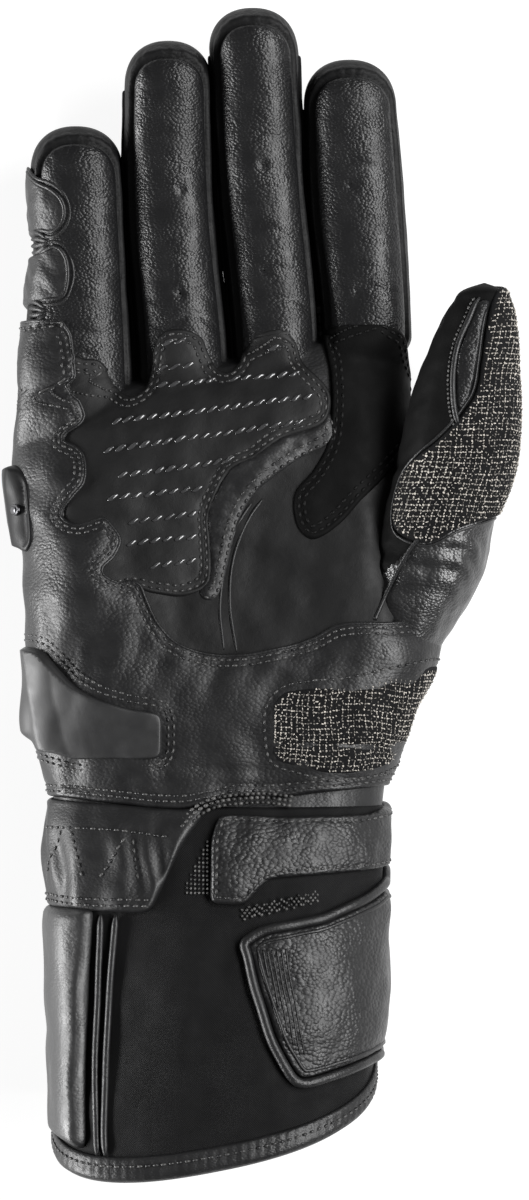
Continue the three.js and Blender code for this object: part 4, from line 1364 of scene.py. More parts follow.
@dataclass
class Finger:
    """One finger: a closed back leather that folds over the tip, and a front leather sewn into it."""

    hand: Hand
    name: str
    row: tuple
    start: float
    rims: tuple[float, float] = (3.0, 2.3)
    fold: float = 5.6
    seed: int = 1
    vents: tuple[tuple[float, float], ...] = ()

    def outline(self) -> Array:
        """Rolled-out outline of the front leather."""
        _, length, *shares = self.row
        low = self.hand.knuckle(shares[0] * self.hand.palm_width)
        tip = low + length - self.fold
        left_rim, right_rim = self.rims
        dome = shares[5] * self.hand.palm_width / 2 - 2.6
        y = np.arange(low + self.start, tip - dome, 0.9)
        centre, half, _, _ = self.hand.finger_shape(self.row, y)
        turn = np.linspace(0, math.pi, 40)[1:-1]
        top = tip - dome
        arc_centre, arc_half, _, _ = self.hand.finger_shape(self.row, np.full(len(turn), top))
        bend = 2 / 2.5
        reach = np.where(np.cos(turn) > 0, arc_half - right_rim, arc_half - left_rim)
        arc_x = arc_centre + reach * np.sign(np.cos(turn)) * np.abs(np.cos(turn)) ** bend
        arc_y = top + dome * np.abs(np.sin(turn)) ** bend
        right = np.stack([centre + half - right_rim, y], axis=1)
        left = np.stack([centre - half + left_rim, y], axis=1)[::-1]
        plan = np.vstack([right, np.stack([arc_x, arc_y], axis=1), left])
        return even(self.hand.fingers[self.name].unroll(even(plan, 0.7, True)), 0.8, True)

    def build(self) -> None:
        """Makes the back tube, the front leather and the vents, each vent a near-black disc of painted shade."""
        skin = self.hand.fingers[self.name]
        u, v = skin.flat_grid()
        end = skin.v[-1]
        calm = ramp(-v, -(end - 3), -(end - 16))
        skin.swell((0.2 * ripple(u, v, 24, self.seed) + 0.04 * ripple(u, v, 9, self.seed + 5)) * calm)
        outline = self.outline()
        self.back(skin, outline)
        self.front(skin, outline)

    def back(self, skin: Skin, outline: Array) -> None:
        """Makes the leather that wraps the finger's back, sides and tip.

        Args:
            skin: the finger's rolled-out form.
            outline: edge of the front leather.
        """
        rows = np.arange(0, len(skin.v) - 1)
        v = skin.v[rows]
        share = np.linspace(-1, 1, 133)[:-1]
        reach_left, reach_right = skin.left[rows][:, None], skin.right[rows][:, None]
        u = np.where(share < 0, share[None] * reach_left, share[None] * reach_right)
        w = np.repeat(v[:, None], u.shape[1], axis=1)
        spots = np.stack([u.ravel(), w.ravel()], axis=1)
        away = distance(spots, outline) * np.where(inside(spots, outline), -1, 1)
        away = away.reshape(u.shape)
        groove = -1.15 * bell(away - 0.3, 0.85)
        roll = 0.6 * bell(away - 2.0, 1.0)
        under = -0.9 * ramp(-away, 0.3, 1.5)
        creases = 0.1 * np.sin(u * 1.9 + 1.5 * ripple(u, w, 14, self.seed + 2)) * bell(away - 2.2, 1.8)
        creases = creases * ramp(w, skin.v[-1] - 26, skin.v[-1] - 10)
        lift = np.where(away > 0.4, groove + roll, np.minimum(groove, under)) + creases
        knuckle = skin.v[0] + 12
        lift = lift - 6.0 * ramp(-w, -(knuckle - 1), -(knuckle - 12))
        stock = sock(skin, u, w, lift, self.hand.finger_depth / 2)
        dress(stock, f"{self.name}_back_hide", Look.BACK_HIDE, f"{self.name}_back")

    def front(self, skin: Skin, outline: Array) -> None:
        """Makes the front leather.

        Args:
            skin: the finger's rolled-out form.
            outline: its edge.
        """
        end = skin.v[-1]
        centre = float(np.mean(outline[:, 0]))

        def creases(u: Array, v: Array) -> Array:
            """Cross creases at the joints and gathers round the tip."""
            line = v + 0.02 * (u - centre) ** 2 + 1.2 * ripple(u, v, 16, self.seed + 7)
            joints = np.zeros(u.shape)
            for share, size in ((0.16, 0.3), (0.24, 0.2), (0.36, 0.18), (0.62, 0.16)):
                place = end - (1 - share) * (end - skin.v[0] - 12)
                joints -= size * bell(line - place, 0.9) * ramp(-np.abs(u - centre), -13, -5)
            near = distance(np.stack([u, v], axis=1), outline)
            gathers = 0.13 * np.sin(u * 1.7 + 2 * ripple(u, v, 9, self.seed + 8)) * bell(near, 3.2)
            gathers = gathers * ramp(v, end - 24, end - 12)
            hollow = np.zeros(u.shape)
            for x, y in self.vents:
                spot = skin.unroll(on_sheet([(x, y)]))[0]
                hollow -= 0.6 * bell(np.hypot(u - spot[0], v - spot[1]), 1.3)
            sunk = -5.0 * ramp(-v, -(skin.v[0] + 10.5), -skin.v[0])
            return joints + gathers + hollow + sunk + 0.05 * ripple(u, v, 9, self.seed + 9)

        panel = Panel(skin, outline, 1.25, 1.5, 0.35, base=-0.45, sink=0.6, spacing=0.85, relief=creases)
        panel.make(f"{self.name}_front_hide", Look.FINGER_HIDE, f"{self.name}_front")
        if self.vents:
            # Each vent gets a near-black disc, a little proud of the leather: painted shade standing in for the shaded
            # hole.
            vent_shade_discs = Stock()
            for x, y in self.vents:
                spot = skin.unroll(on_sheet([(x, y)]))
                high = panel.height(*spot.T)[0]
                turn = np.linspace(0, 2 * math.pi, 16, endpoint=False)
                ring = spot + 0.85 * np.stack([np.cos(turn), np.sin(turn)], axis=1)
                low = skin.at(*ring.T, high - 0.9)
                top = skin.at(*ring.T, high + 0.06)
                faces = np.stack([np.arange(16), np.roll(np.arange(16), -1)], axis=1)
                wall = np.hstack([faces, faces[:, ::-1] + 16])
                vent_shade_discs.add(np.vstack([low, top]), wall, np.array([list(range(16))[::-1], list(range(16, 32))]))
            dress(vent_shade_discs, f"{self.name}_vents", Look.PAINTED_VENT_SHADE)


@dataclass
class Fourchette:
    """The stretch strip that joins the sides of two neighbouring fingers."""

    hand: Hand
    left: tuple
    right: tuple

    def build(self) -> None:
        """Makes the two strips, one on each finger."""
        stock = Stock()
        for row, side in ((self.left, 1), (self.right, -1)):
            skin = self.hand.fingers[row[0]]
            start = self.hand.knuckle(row[2] * self.hand.palm_width)
            v = np.arange(start - 3, start + row[1] - 13, 0.9)
            edge = np.abs(np.interp(skin.row_of(v), np.arange(len(skin.v)), skin.edges[:, 0 if side < 0 else 1]))
            loop = np.vstack([
                np.stack([side * (edge - 2.2), v], axis=1), np.stack([side * (edge + 6.5), v], axis=1)[::-1]
            ])
            Panel(skin, even(loop, 1.2, True), 0.5, 0.7, 0.1, base=0.1, sink=0.5, spacing=1.6).lay(stock)
        dress(stock, f"fourchette_{self.left[0]}_{self.right[0]}_strips", Look.STRETCH,
              f"fourchette_{self.left[0]}_{self.right[0]}")


@dataclass
class PalmPanels:
    """The trims over the palm: printed grip, crescent, inset and index patch."""

    hand: Hand
    grip: tuple = (
        (84, 357), (98, 359), (109, 373), (118, 389), (133, 396), (145, 389), (152, 367), (155, 346), (162, 332),
        (175, 327), (190, 329), (201, 336), (207, 352), (215, 366), (227, 372), (237, 366), (246, 346), (257, 334),
        (274, 327), (289, 329), (296, 342), (302, 360), (330, 393), (325, 422), (280, 441), (254, 460), (233, 470),
        (218, 494), (210, 515), (211, 540), (209, 584), (187, 596), (153, 594), (136, 590), (92, 596), (62, 560),
        (54, 500), (50, 430), (54, 372), (70, 354),
    )
    crescent: tuple = (
        (200, 598), (200, 540), (200, 512), (208, 486), (224, 462), (246, 448), (272, 431), (305, 420), (325, 408),
        (338, 438), (322, 449), (300, 460), (279, 474), (260, 490), (246, 509), (238, 528), (233, 547), (228, 570),
        (222, 592), (212, 602),
    )
    inset: tuple = (
        (330, 440), (300, 452), (262, 468), (228, 498), (204, 530), (184, 560), (158, 578), (138, 590), (138, 612),
        (152, 650), (176, 672), (240, 684), (300, 664), (345, 642), (384, 640), (398, 560), (396, 500), (405, 440),
        (404, 400), (380, 400), (345, 420),
    )
    seams: tuple = (
        ((252, 503), (243, 516), (233, 536), (226, 560), (222, 585), (220, 612), (224, 650)),
        ((263, 499), (252, 514), (240, 538), (233, 562), (230, 588), (231, 616), (237, 652)),
    )
    index: tuple = (
        (324, 330), (336, 325), (358, 324), (386, 324), (402, 332), (407, 360), (408, 400), (406, 445), (386, 475),
        (362, 500), (343, 521), (324, 536), (311, 540), (300, 531), (294, 510), (296, 491), (313, 470), (326, 445),
        (331, 410), (330, 370),
    )
    rows: tuple = (
        (163, 342, 205, 336), (158, 368, 214, 361), (244, 350, 298, 344), (110, 389, 305, 375), (112, 424, 322, 396),
        (104, 452, 318, 420), (118, 477, 262, 456), (108, 500, 228, 486), (128, 523, 210, 512), (126, 545, 210, 536),
        (150, 568, 205, 561), (92, 370, 104, 368),
    )

    def build(self) -> None:
        """Makes the grip with its print, the crescent, the inset and the index patch."""
        skin = self.hand.body
        threads = Stock()
        outline = wrapped(skin, self.inset)
        inset_panel = Panel(skin, outline, 0.7, 0.9, -0.15, spacing=1.1,
                            relief=lambda u, v: 0.22 * ripple(u, v, 18, 21))
        inset_panel.make("palm_inset_suede", Look.SUEDE, "palm_inset")

        cords = Stock()
        for points in self.seams:
            piping(cords, skin, wrapped(skin, points, closed=False), 0.5, 0.5)
        dress(cords, "palm_seam_cords", Look.SMOOTH_HIDE)

        border = wrapped(skin, self.grip, step=0.7)

        def tucked(u: Array, v: Array) -> Array:
            """Falls away under the grip, with fine gathers where it shows."""
            spots = np.stack([u, v], axis=1)
            under = inside(spots, border) * ramp(distance(spots, border), 0.0, 1.2)
            return 0.13 * np.sin(v * 2.3 + u * 0.8) + 0.1 * ripple(u, v, 6, 22) - 1.7 * under

        ridge = Panel(skin, wrapped(skin, self.crescent), 1.5, 3.0, 0.4, spacing=0.9, relief=tucked)
        ridge.make("palm_crescent_hide", Look.SMOOTH_HIDE, "palm_crescent")
        for depth in (1.0, 2.8):
            for line, lift in ridge.track(depth):
                for run in outside(line, border):
                    sew(threads, skin, line[run], lift[run])

        grip = Panel(skin, border, 1.3, 1.1, 0.25, base=0.3, sink=0.9, spacing=0.9, seams=(1.5, 3.1),
                     relief=lambda u, v: 0.25 * ripple(u, v, 15, 23))
        grip.make("palm_grip_suede", Look.SUEDE, "palm_grip_patch")
        grip.stitch(threads, 1.5, 3.1)
        self.print_rows(grip)

        outline = wrapped(skin, self.index)
        patch = Panel(skin, outline, 1.3, 1.1, 0.25, base=0.3, sink=0.9, spacing=1.0, seams=(1.6,),
                      relief=lambda u, v: 0.25 * ripple(u, v, 14, 24))
        patch.make("index_patch_suede", Look.INDEX_SUEDE, "index_patch")
        dark_threads = Stock()
        patch.stitch(dark_threads, 1.6, 3.2)
        dress(dark_threads, "index_patch_stitches", Look.DARK_THREAD)
        dress(threads, "palm_stitches", Look.THREAD)

    def print_rows(self, grip: Panel) -> None:
        """Prints the raised wavy dashes of the grip.

        Args:
            grip: the panel under them.
        """
        skin = grip.skin
        dashes = Stock()
        rng = np.random.default_rng(5)
        for x0, y0, x1, y1 in self.rows:
            length = math.hypot(x1 - x0, y1 - y0)
            for i in range(max(1, int(length / 12.0))):
                along = (i * 12.0 + rng.uniform(-0.6, 0.6)) / length + np.linspace(0, 11.0 / length, 9)
                x = x0 + (x1 - x0) * along
                y = y0 + (y1 - y0) * along + 1.8 - 3.6 * ramp(np.linspace(0, 1, 9), 0.15, 0.85)
                line = skin.unroll(on_sheet(np.stack([x, y], axis=1)))
                if not inside(line, grip.outline).all() or distance(line, grip.outline).min() < 2.2:
                    continue
                lift = grip.height(*line.T) + 0.05
                centre = skin.at(*line.T, lift)[None]
                facing = skin.facing(*line.T)[None]
                wide = np.array([0.25, 0.45, 0.56, 0.62, 0.66, 0.62, 0.56, 0.45, 0.25]) * rng.uniform(0.75, 1.1)
                capsules(dashes, centre, facing, wide, 8, 0.85)
        dress(dashes, "palm_grip_print", Look.PRINT)


@dataclass
class OuterLeather:
    """The outer leather: heel, with its lobes along the little-finger side."""

    hand: Hand
    below: tuple
    heel: tuple = (
        (-40, 320), (20, 318), (50, 316), (62, 319), (71, 329), (74, 345), (76, 364), (78, 391), (86, 414), (83, 426),
        (75, 433), (66, 440), (78, 446), (86, 454), (89, 468), (87, 485), (76, 499), (66, 516), (78, 526), (92, 522),
        (104, 518), (114, 527), (122, 541), (116, 558), (104, 573), (118, 582), (132, 581), (141, 584), (149, 601),
        (159, 622), (174, 639), (195, 649), (237, 654), (279, 647), (311, 637), (338, 624), (385, 622), (418, 620),
        (448, 620), (500, 622), (500, 690), (440, 690), (434, 700), (500, 790), (420, 788), (392, 786), (330, 791),
        (270, 797), (235, 797), (212, 803), (183, 808), (120, 803), (50, 797), (-40, 797),
    )
    grip: tuple = (
        (284, 692), (310, 687), (341, 684), (368, 677), (400, 668), (436, 664), (441, 668), (428, 690), (414, 712),
        (402, 738), (389, 760), (366, 770), (338, 773), (299, 766), (276, 757), (271, 735), (272, 707),
    )

    def build(self) -> Panel:
        """Makes the outer leather, its edge cord and its grip.

        Returns:
            The panel of the outer leather, for the trims on top of it.
        """
        skin = self.hand.body
        threads = Stock()
        outline = clamp_round(skin, wrapped(skin, self.heel), 9.5)
        under = wrapped(skin, self.below)

        def creases(u: Array, v: Array) -> Array:
            """Swells over the heel and drag lines towards the wrist."""
            heel = 0.8 * bell(v - 22, 16) * bell(u - 42, 22)
            drag = -0.35 * bell(v - 9 + 0.06 * u, 1.6) * ramp(u, -20, 0) - 0.25 * bell(v - 4.6, 1.0)
            spots = np.stack([u, v], axis=1)
            over = 1.3 * ramp(distance(spots, under) * np.where(inside(spots, under), 1, -1), -6.0, 5.0)
            return over + heel + drag + 0.2 * ripple(u, v, 13, 31) + 0.3 * ripple(u, v, 34, 32)

        panel = Panel(skin, outline, 1.5, 1.3, 0.35, spacing=1.12, seams=(1.7, 3.5), relief=creases)
        panel.make("heel_hide", Look.HIDE, "heel_leather")
        cord = Stock()
        for depth in (0.75, 1.9, 3.5):
            for line, lift in panel.track(depth):
                high = skin.at(*line.T)[:, 2]
                shown = (line[:, 0] > skin.edge(line[:, 1]) - 6) & (high > 13.6) & ((line[:, 1] > 6) | (depth > 1))
                for run in stretches(shown):
                    if len(run) > 4 and depth < 1:
                        piping(cord, skin, line[run], lift[run] - 0.1, 0.5)
                    elif len(run) > 4:
                        sew(threads, skin, line[run], lift[run])
        dress(cord, "heel_edge_cord", Look.BINDING)
        grip_outline = wrapped(skin, self.grip)
        ground = Panel(skin, grip_outline, 1.2, 1.0, 0.9, base=1.0, spacing=1.0,
                       relief=lambda u, v: -0.9 * bell(v - 16.5 + 0.02 * u, 1.2) + 0.25 * ripple(u, v, 15, 33))
        ground.make("heel_grip_ground", Look.GROUND, "heel_grip_panel")
        speckle(ground, "heel_grip_threads")
        for run in inset(grip_outline, -1.6):
            sew(threads, skin, run, panel.height(*run.T))
        dress(threads, "heel_stitches", Look.THREAD)
        return panel


def clamp_round(skin: Skin, outline: Array, lowest: float) -> Array:
    """Keeps a rolled-out outline from running under the glove.

    Args:
        skin: the form that it lies on.
        outline: rolled-out points.
        lowest: height in millimetres that it stops at.

    Returns:
        The outline, drawn in where it would go lower.
    """
    rows = np.clip(np.round(skin.row_of(outline[:, 1])).astype(int), 0, len(skin.v) - 1)
    share = np.linspace(-1, 1, 2 * skin.HALF + 1)
    out = outline.copy()
    for i, r in enumerate(rows):
        u = np.where(share < 0, share * skin.left[r], share * skin.right[r])
        high = skin.grid[r, :, 2] > lowest
        out[i, 0] = np.clip(out[i, 0], u[high][0], u[high][-1])
    return even(out, 0.9, True)


def speckle(ground: Panel, name: str, step: float = 1.5) -> None:
    """Covers a panel with the raised check of a grip cloth: a bead at each crossing and short threads between.

    Args:
        ground: the panel under them.
        name: name of the piece.
        step: distance from crossing to crossing.
    """
    rng = np.random.default_rng(9)
    loop = ground.outline
    low, high = loop.min(0), loop.max(0)
    x, y = np.meshgrid(np.arange(low[0], high[0], step), np.arange(low[1], high[1], step))
    grid = np.stack([x.ravel(), y.ravel()], axis=1)
    grid = grid + np.stack([0.5 * ripple(*grid.T, 25, 91), 0.5 * ripple(*grid.T, 25, 92)], 1)
    stock = Stock()
    # share of the step that each thread is moved by, its direction, half length and thickness
    kinds = (((0, 0), 0.6, 0.2, 0.4), ((0.5, 0), 0.0, 0.31, 0.2), ((0, 0.5), 1.57, 0.28, 0.16))
    for shift, turn, reach, thick in kinds:
        spots = grid + np.array(shift) * step + rng.normal(0, 0.09, grid.shape)
        spots = spots[inside(spots, loop)]
        spots = spots[distance(spots, loop) > 0.8]
        spots = spots[rng.random(len(spots)) > 0.12]
        count = len(spots)
        lean = turn + rng.normal(0, 0.3, count)
        half = reach * rng.uniform(0.7, 1.25, count)
        at = np.linspace(-1, 1, 3)[None] * half[:, None]
        u = spots[:, 0][:, None] + at * np.cos(lean)[:, None]
        v = spots[:, 1][:, None] + at * np.sin(lean)[:, None]
        lift = ground.height(u.ravel(), v.ravel()) + 0.08
        centre = ground.skin.at(u, v, lift.reshape(u.shape)).reshape(count, 3, 3)
        facing = ground.skin.facing(u, v).reshape(count, 3, 3)
        wide = thick * rng.uniform(0.75, 1.2, count)[:, None] * np.array([0.6, 1, 0.6])[None]
        capsules(stock, centre, facing, wide, 5, 0.8)
    dress(stock, name, Look.SPECKLE)


@dataclass
class Scallops:
    """Lobes of stretch leather up the outer side of the little finger, with a gathered knot under each."""

    hand: Hand
    upper: tuple = (
        (-6, 165), (14, 163), (28, 166), (38, 179), (52, 186), (62, 196), (66, 208), (64, 221), (55, 231), (38, 229),
        (20, 234), (-6, 236),
    )
    lower: tuple = (
        (-6, 256), (20, 256), (40, 250), (56, 243), (65, 252), (69, 267), (68, 283), (62, 297), (40, 300), (20, 304),
        (-6, 306),
    )
    knots: tuple = ((42, 240), (40, 310))

    def build(self) -> None:
        """Makes the two lobes, their rolled edges and the knots."""
        skin = self.hand.fingers["little"]
        trims = Stock()
        for name, points in (("upper", self.upper), ("lower", self.lower)):
            outline = clamp_round(skin, wrapped(skin, points, step=0.8), 6.0)
            panel = Panel(skin, outline, 1.2, 1.2, 0.5, base=0.2, spacing=0.8,
                          relief=lambda u, v: 0.12 * ripple(u, v, 6, 51))
            stock = Stock()
            panel.lay(stock)
            dress(stock, f"little_scallop_{name}_hide", Look.HIDE, f"little_scallop_{name}")
            for shift in (0.5, -1.0):
                line = wrapped(skin, points[2:-2], closed=False, step=0.8)
                middle = line.mean(0)
                outward = line - middle
                line = line + outward / np.linalg.norm(outward, axis=1)[:, None] * (-shift)
                piping(trims, skin, line, 1.15 if shift > 0 else 0.75, 0.62)
        for x, y in self.knots:
            for i in (-1.5, -0.5, 0.5, 1.5):
                t = np.linspace(0, 1, 11)
                fan = np.stack([x + 8 - 17 * t, y + 1.6 * i + 5.2 * i * np.sin(t * 1.9) ** 1.5], axis=1)
                line = even(skin.unroll(on_sheet(fan)), 0.7)
                piping(trims, skin, line, 0.7 + 0.2 * (2 - abs(i)), 0.8)
        dress(trims, "little_scallop_edges", Look.BINDING)


@dataclass
class Thumb:
    """The thumb: its leather, side strip, welt and grip panel."""

    hand: Hand
    grip: tuple = (
        (560, 300), (512, 288), (498, 290), (491, 300), (484, 325), (479, 360), (473, 394), (462, 412), (454, 423),
        (436, 442), (418, 457), (404, 473), (397, 491), (393, 516), (396, 531), (410, 540), (428, 543), (456, 529),
        (489, 518), (505, 512), (560, 480),
    )
    strip: tuple = (
        (478, 303), (470, 320), (462, 340), (456, 358), (454, 385), (456, 412), (464, 405), (471, 385), (476, 357),
        (481, 325), (487, 303),
    )
    welt: tuple = ((478, 300), (473, 308), (466, 324), (458, 342), (453, 362), (451, 388), (453, 414), (457, 428))
    set_in: tuple = ((420, 536), (412, 545), (402, 562), (391, 584), (381, 604), (374, 620))

    def build(self) -> None:
        """Makes the thumb's pieces."""
        skin = self.hand.thumb
        grip_outline = clamp_round(skin, wrapped(skin, self.grip), 12.0)
        self.hide(skin, grip_outline)
        ground = Panel(skin, grip_outline, 1.2, 1.1, 0.6, base=-0.1, spacing=1.0,
                       relief=lambda u, v: 0.3 * ripple(u, v, 18, 61))
        ground.make("thumb_grip_ground", Look.GROUND, "thumb_grip_panel")
        speckle(ground, "thumb_grip_threads")
        strip = Panel(skin, wrapped(skin, self.strip), 0.9, 1.0, 0.4, spacing=0.9,
                      relief=lambda u, v: 0.1 * np.sin(v * 2.6) + 0.1 * ripple(u, v, 7, 62))
        strip.make("thumb_strip_hide", Look.FINGER_HIDE, "thumb_side_strip")
        trims = Stock()
        welt = wrapped(skin, self.welt, closed=False)
        piping(trims, skin, welt, 0.35, 0.85)
        top = skin.v[-1] - 5
        for run in inset(grip_outline, -0.8):
            for part in stretches(run[:, 1] < top):
                piping(trims, skin, run[part], 0.1, 0.42)
        dress(trims, "thumb_welts", Look.BINDING)
        threads = Stock()
        sew(threads, skin, welt - [1.4, 0], 0.1, pitch=1.25, length=0.85, thick=0.34)
        dress(threads, "thumb_welt_stitches", Look.CORD)
        self.joint()

    def joint(self) -> None:
        """Makes the seam that sets the thumb into the palm, on whichever leather lies higher."""
        plan = through(on_sheet(self.set_in), 0.8)
        best, lead = None, None
        for skin in (self.hand.body, self.hand.thumb):
            spots = skin.unroll(plan)
            points, facing = skin.at(*spots.T, 0.5), skin.facing(*spots.T)
            if best is None:
                best, lead = points, facing
            else:
                higher = (points[:, 2] > best[:, 2])[:, None]
                best, lead = np.where(higher, points, best), np.where(higher, facing, lead)
        best = np.stack([smooth_line(best[:, i], 12) for i in range(3)], axis=1)
        stock = Stock()
        tube(stock, best, 0.6, 8, up=lead, flat=0.9)
        dress(stock, "thumb_joint_cord", Look.BINDING)

    def hide(self, skin: Skin, grip: Array) -> None:
        """Makes the leather tube of the thumb.

        Args:
            skin: the thumb's rolled-out form.
            grip: edge of the grip panel.
        """
        share = np.linspace(-1, 1, 151)[:-1]
        v = skin.v[:-1]
        u = np.where(share < 0, share[None] * skin.left[:-1][:, None], share[None] * skin.right[:-1][:, None])
        w = np.repeat(v[:, None], u.shape[1], axis=1)
        spots = np.stack([u.ravel(), w.ravel()], axis=1)
        away = (distance(spots, grip) * np.where(inside(spots, grip), -1, 1)).reshape(u.shape)
        under = -0.7 * ramp(-away, 0.4, 1.5)
        fold = w - 88 + 0.35 * u + 2.0 * ripple(u, w, 26, 64)
        facing = ramp(-np.abs(share), -0.36, -0.2)[None]
        base = 0.62 * np.sin(fold * 0.85) * bell(w - 76, 18) * ramp(away, 1, 5) * facing
        wrist = -0.7 * bell(w - 99 - 0.25 * u, 1.5) * ramp(away, 0.5, 3)
        lift = under + base + wrist + 0.12 * ripple(u, w, 7, 63)
        lift = lift * ramp(-w, -(v[-1] - 1), -(v[-1] - 9))
        piece = dress(sock(skin, u, w, lift, 12.0), "thumb_hide", Look.THUMB_HIDE, "thumb_leather")
        piece.data.materials.append(Look.INDEX_SUEDE.value.material())
        place = np.empty(len(piece.data.polygons) * 3)
        piece.data.polygons.foreach_get("center", place)
        place = place.reshape(-1, 3) * 1000 - FRAME_SHIFT
        upper = place[:, 1] - 0.9 * place[:, 0] > 22
        piece.data.polygons.foreach_set("material_index", upper.astype(np.int32))


@dataclass
class Sliders:
    """The moulded slider round the heel of the hand and the small one on its edge."""

    hand: Hand
    palm: tuple = (
        (-40, 646), (27, 646), (47, 648), (57, 663), (76, 684), (99, 698), (130, 707), (158, 711), (163, 717),
        (163, 752), (157, 758), (76, 757), (63, 751), (36, 743), (22, 730), (-40, 728),
    )
    edge: tuple = (
        (12, 469), (19, 465), (26, 470), (31, 482), (35, 511), (37, 535), (36, 543), (32, 552), (27, 546), (15, 530),
        (7, 506), (8, 483),
    )
    rivet: tuple = (25, 509)

    def build(self) -> None:
        """Makes both sliders and the rivet."""
        skin = self.hand.body
        outline = clamp_round(skin, wrapped(skin, self.palm, corner=3.0, step=0.7), 11.0)
        ridge, crest = (skin.unroll(on_sheet(line)) for line in (((39, 650), (55, 750)), ((55, 650), (76, 755))))

        def shape(u: Array, v: Array) -> Array:
            """Facets of the thick end: a face that falls away outwards, a slanted band, and the flat tail."""
            outer = np.interp(v, ridge[::-1, 1], ridge[::-1, 0])
            inner = np.interp(v, crest[::-1, 1], crest[::-1, 0])
            band = 2.5 - 1.9 * np.clip((u - outer) / (inner - outer), 0, 1)
            fuller = 2.1 * ramp(-v, -38, -21) - 4.0 * ramp(-v, -20.5, -15.5)
            face = band - 0.3 * np.clip(outer - u, 0, 9) + fuller * ramp(outer - u, 0, 6)
            return face - 0.6 * np.clip((u - inner) / 7.0, 0, 1)

        slider = Panel(skin, outline, 1.6, 0.8, 0.0, base=1.4, sink=0.9, spacing=0.7, relief=shape)
        slider.make("palm_slider_shell", Look.PLASTIC, "palm_slider")
        threads = Stock()
        for depth in (-1.7, -3.2):
            for run in inset(outline, depth):
                sew(threads, skin, run, 1.75)
        dress(threads, "slider_stitches", Look.THREAD)

        outline = clamp_round(skin, wrapped(skin, self.edge, step=0.6), 12.0)
        spine = skin.unroll(on_sheet(((24, 469), (25, 509), (31, 552))))[::-1]

        def lean(u: Array, v: Array) -> Array:
            """Lets the face fall from the outer rim towards the palm."""
            return 0.55 * np.clip(np.interp(v, spine[:, 1], spine[:, 0]) - u, -2.5, 2.5)

        small = Panel(skin, outline, 2.0, 1.5, 0.3, base=1.4, sink=0.9, spacing=0.7, relief=lean)
        small.make("edge_slider_shell", Look.DARK_PLASTIC, "edge_slider")
        spot = skin.unroll(on_sheet([self.rivet]))[0]
        stock = Stock()
        turn = np.linspace(0, 2 * math.pi, 32, endpoint=False)
        radii = np.array([2.1, 2.1, 1.8, 1.6, 1.5, 1.25, 0.8, 0.05])
        highs = np.array([3.2, 4.2, 4.35, 4.1, 4.4, 4.62, 4.75, 4.8]) - 0.25
        rings = []
        for radius, high in zip(radii, highs):
            ring = spot + radius * np.stack([np.cos(turn), np.sin(turn)], axis=1)
            rings.append(skin.at(*ring.T, high))
        size = len(radii) * 32
        stock.add(np.vstack(rings), net(len(radii), 32, closed=True), np.array([list(range(32))[::-1]]),
                  np.array([list(range(size - 32, size))]))
        dress(stock, "edge_rivet_head", Look.STEEL, "edge_slider_rivet")


@dataclass
class Wrist:
    """The gathered wrist panel and the strap that closes over the wrist."""

    hand: Hand
    panel: tuple = (
        (-40, 798), (30, 798), (50, 799), (84, 802), (130, 804), (183, 809), (208, 806), (198, 822), (184, 842),
        (172, 866), (160, 892), (150, 910), (91, 909), (42, 906), (10, 905), (-40, 904),
    )
    strap: tuple = (
        (212, 838), (218, 817), (228, 814), (289, 816), (366, 814), (396, 803), (470, 800), (470, 868), (393, 859),
        (375, 869), (268, 877), (247, 900), (240, 902), (211, 900),
    )
    seams: tuple = (
        ((53, 828), (114, 830), (170, 836)),
        ((68, 829), (60, 850), (53, 871)), ((76, 830), (82, 853), (87, 877)),
        ((128, 836), (115, 857), (102, 877)), ((134, 837), (137, 857), (140, 878)),
        ((44, 893), (92, 897), (152, 898)), ((43, 899), (92, 903), (150, 904)),
    )

    def build(self) -> None:
        """Makes the panel, the strap and the trims between them."""
        skin = self.hand.body
        threads = Stock()
        outline = clamp_round(skin, wrapped(skin, self.panel, corner=2.5), 9.0)

        def gathers(u: Array, v: Array) -> Array:
            """Soft upright folds."""
            folds = 0.5 * np.sin(u * 0.62 + 1.3 * ripple(u, v, 30, 71)) * bell(v + 17, 14)
            return folds + 0.25 * ripple(u, v, 12, 72)

        panel = Panel(skin, outline, 1.5, 1.3, 0.3, base=0.2, spacing=1.0, relief=gathers)
        panel.make("wrist_panel_hide", Look.SMOOTH_HIDE, "wrist_panel")
        for points in self.seams:
            line = wrapped(skin, points, closed=False, step=0.8)
            sew(threads, skin, line, panel.height(*line.T))
        outline = clamp_round(skin, wrapped(skin, self.strap, corner=2.2), 9.0)
        strap = Panel(skin, outline, 1.9, 1.2, 0.3, base=0.6, sink=1.0, spacing=1.0, seams=(1.7,),
                      relief=lambda u, v: 0.16 * ripple(u, v, 12, 73))
        strap.make("wrist_strap_hide", Look.STRAP_HIDE, "wrist_strap")
        strap.stitch(threads, 1.7)
        rope = wrapped(skin, ((182, 828), (198, 812), (212, 804), (240, 799), (270, 798), (292, 801)), False, 0.8)
        across = np.gradient(rope, axis=0)[:, ::-1] * [-1, 1]
        across /= np.linalg.norm(across, axis=1)[:, None]
        trims = Stock()
        for shift in (-1.3, 0.0, 1.3):
            sew(trims, skin, rope + across * shift, 1.9 - 0.3 * abs(shift), pitch=1.5, length=1.25, thick=0.5)
        for low in (0, 6):
            zigzag = [
                (x, 908 + low - 0.22 * (x - 241) + (3 if i % 2 else -3)) for i, x in enumerate(range(241, 318, 4))
            ]
            sew(trims, skin, skin.unroll(even(on_sheet(zigzag), 0.3)), 0.8, pitch=1.15, length=0.75, thick=0.36)
        for x in range(188, 209, 4):
            line = wrapped(skin, ((x, 838 + 2 * (208 - x)), (x, 892)), False, 0.5)
            sew(trims, skin, line, 0.5, pitch=1.1, length=0.6, thick=0.3)
        dress(trims, "wrist_rope_trim", Look.CORD)
        dress(threads, "wrist_stitches", Look.THREAD)


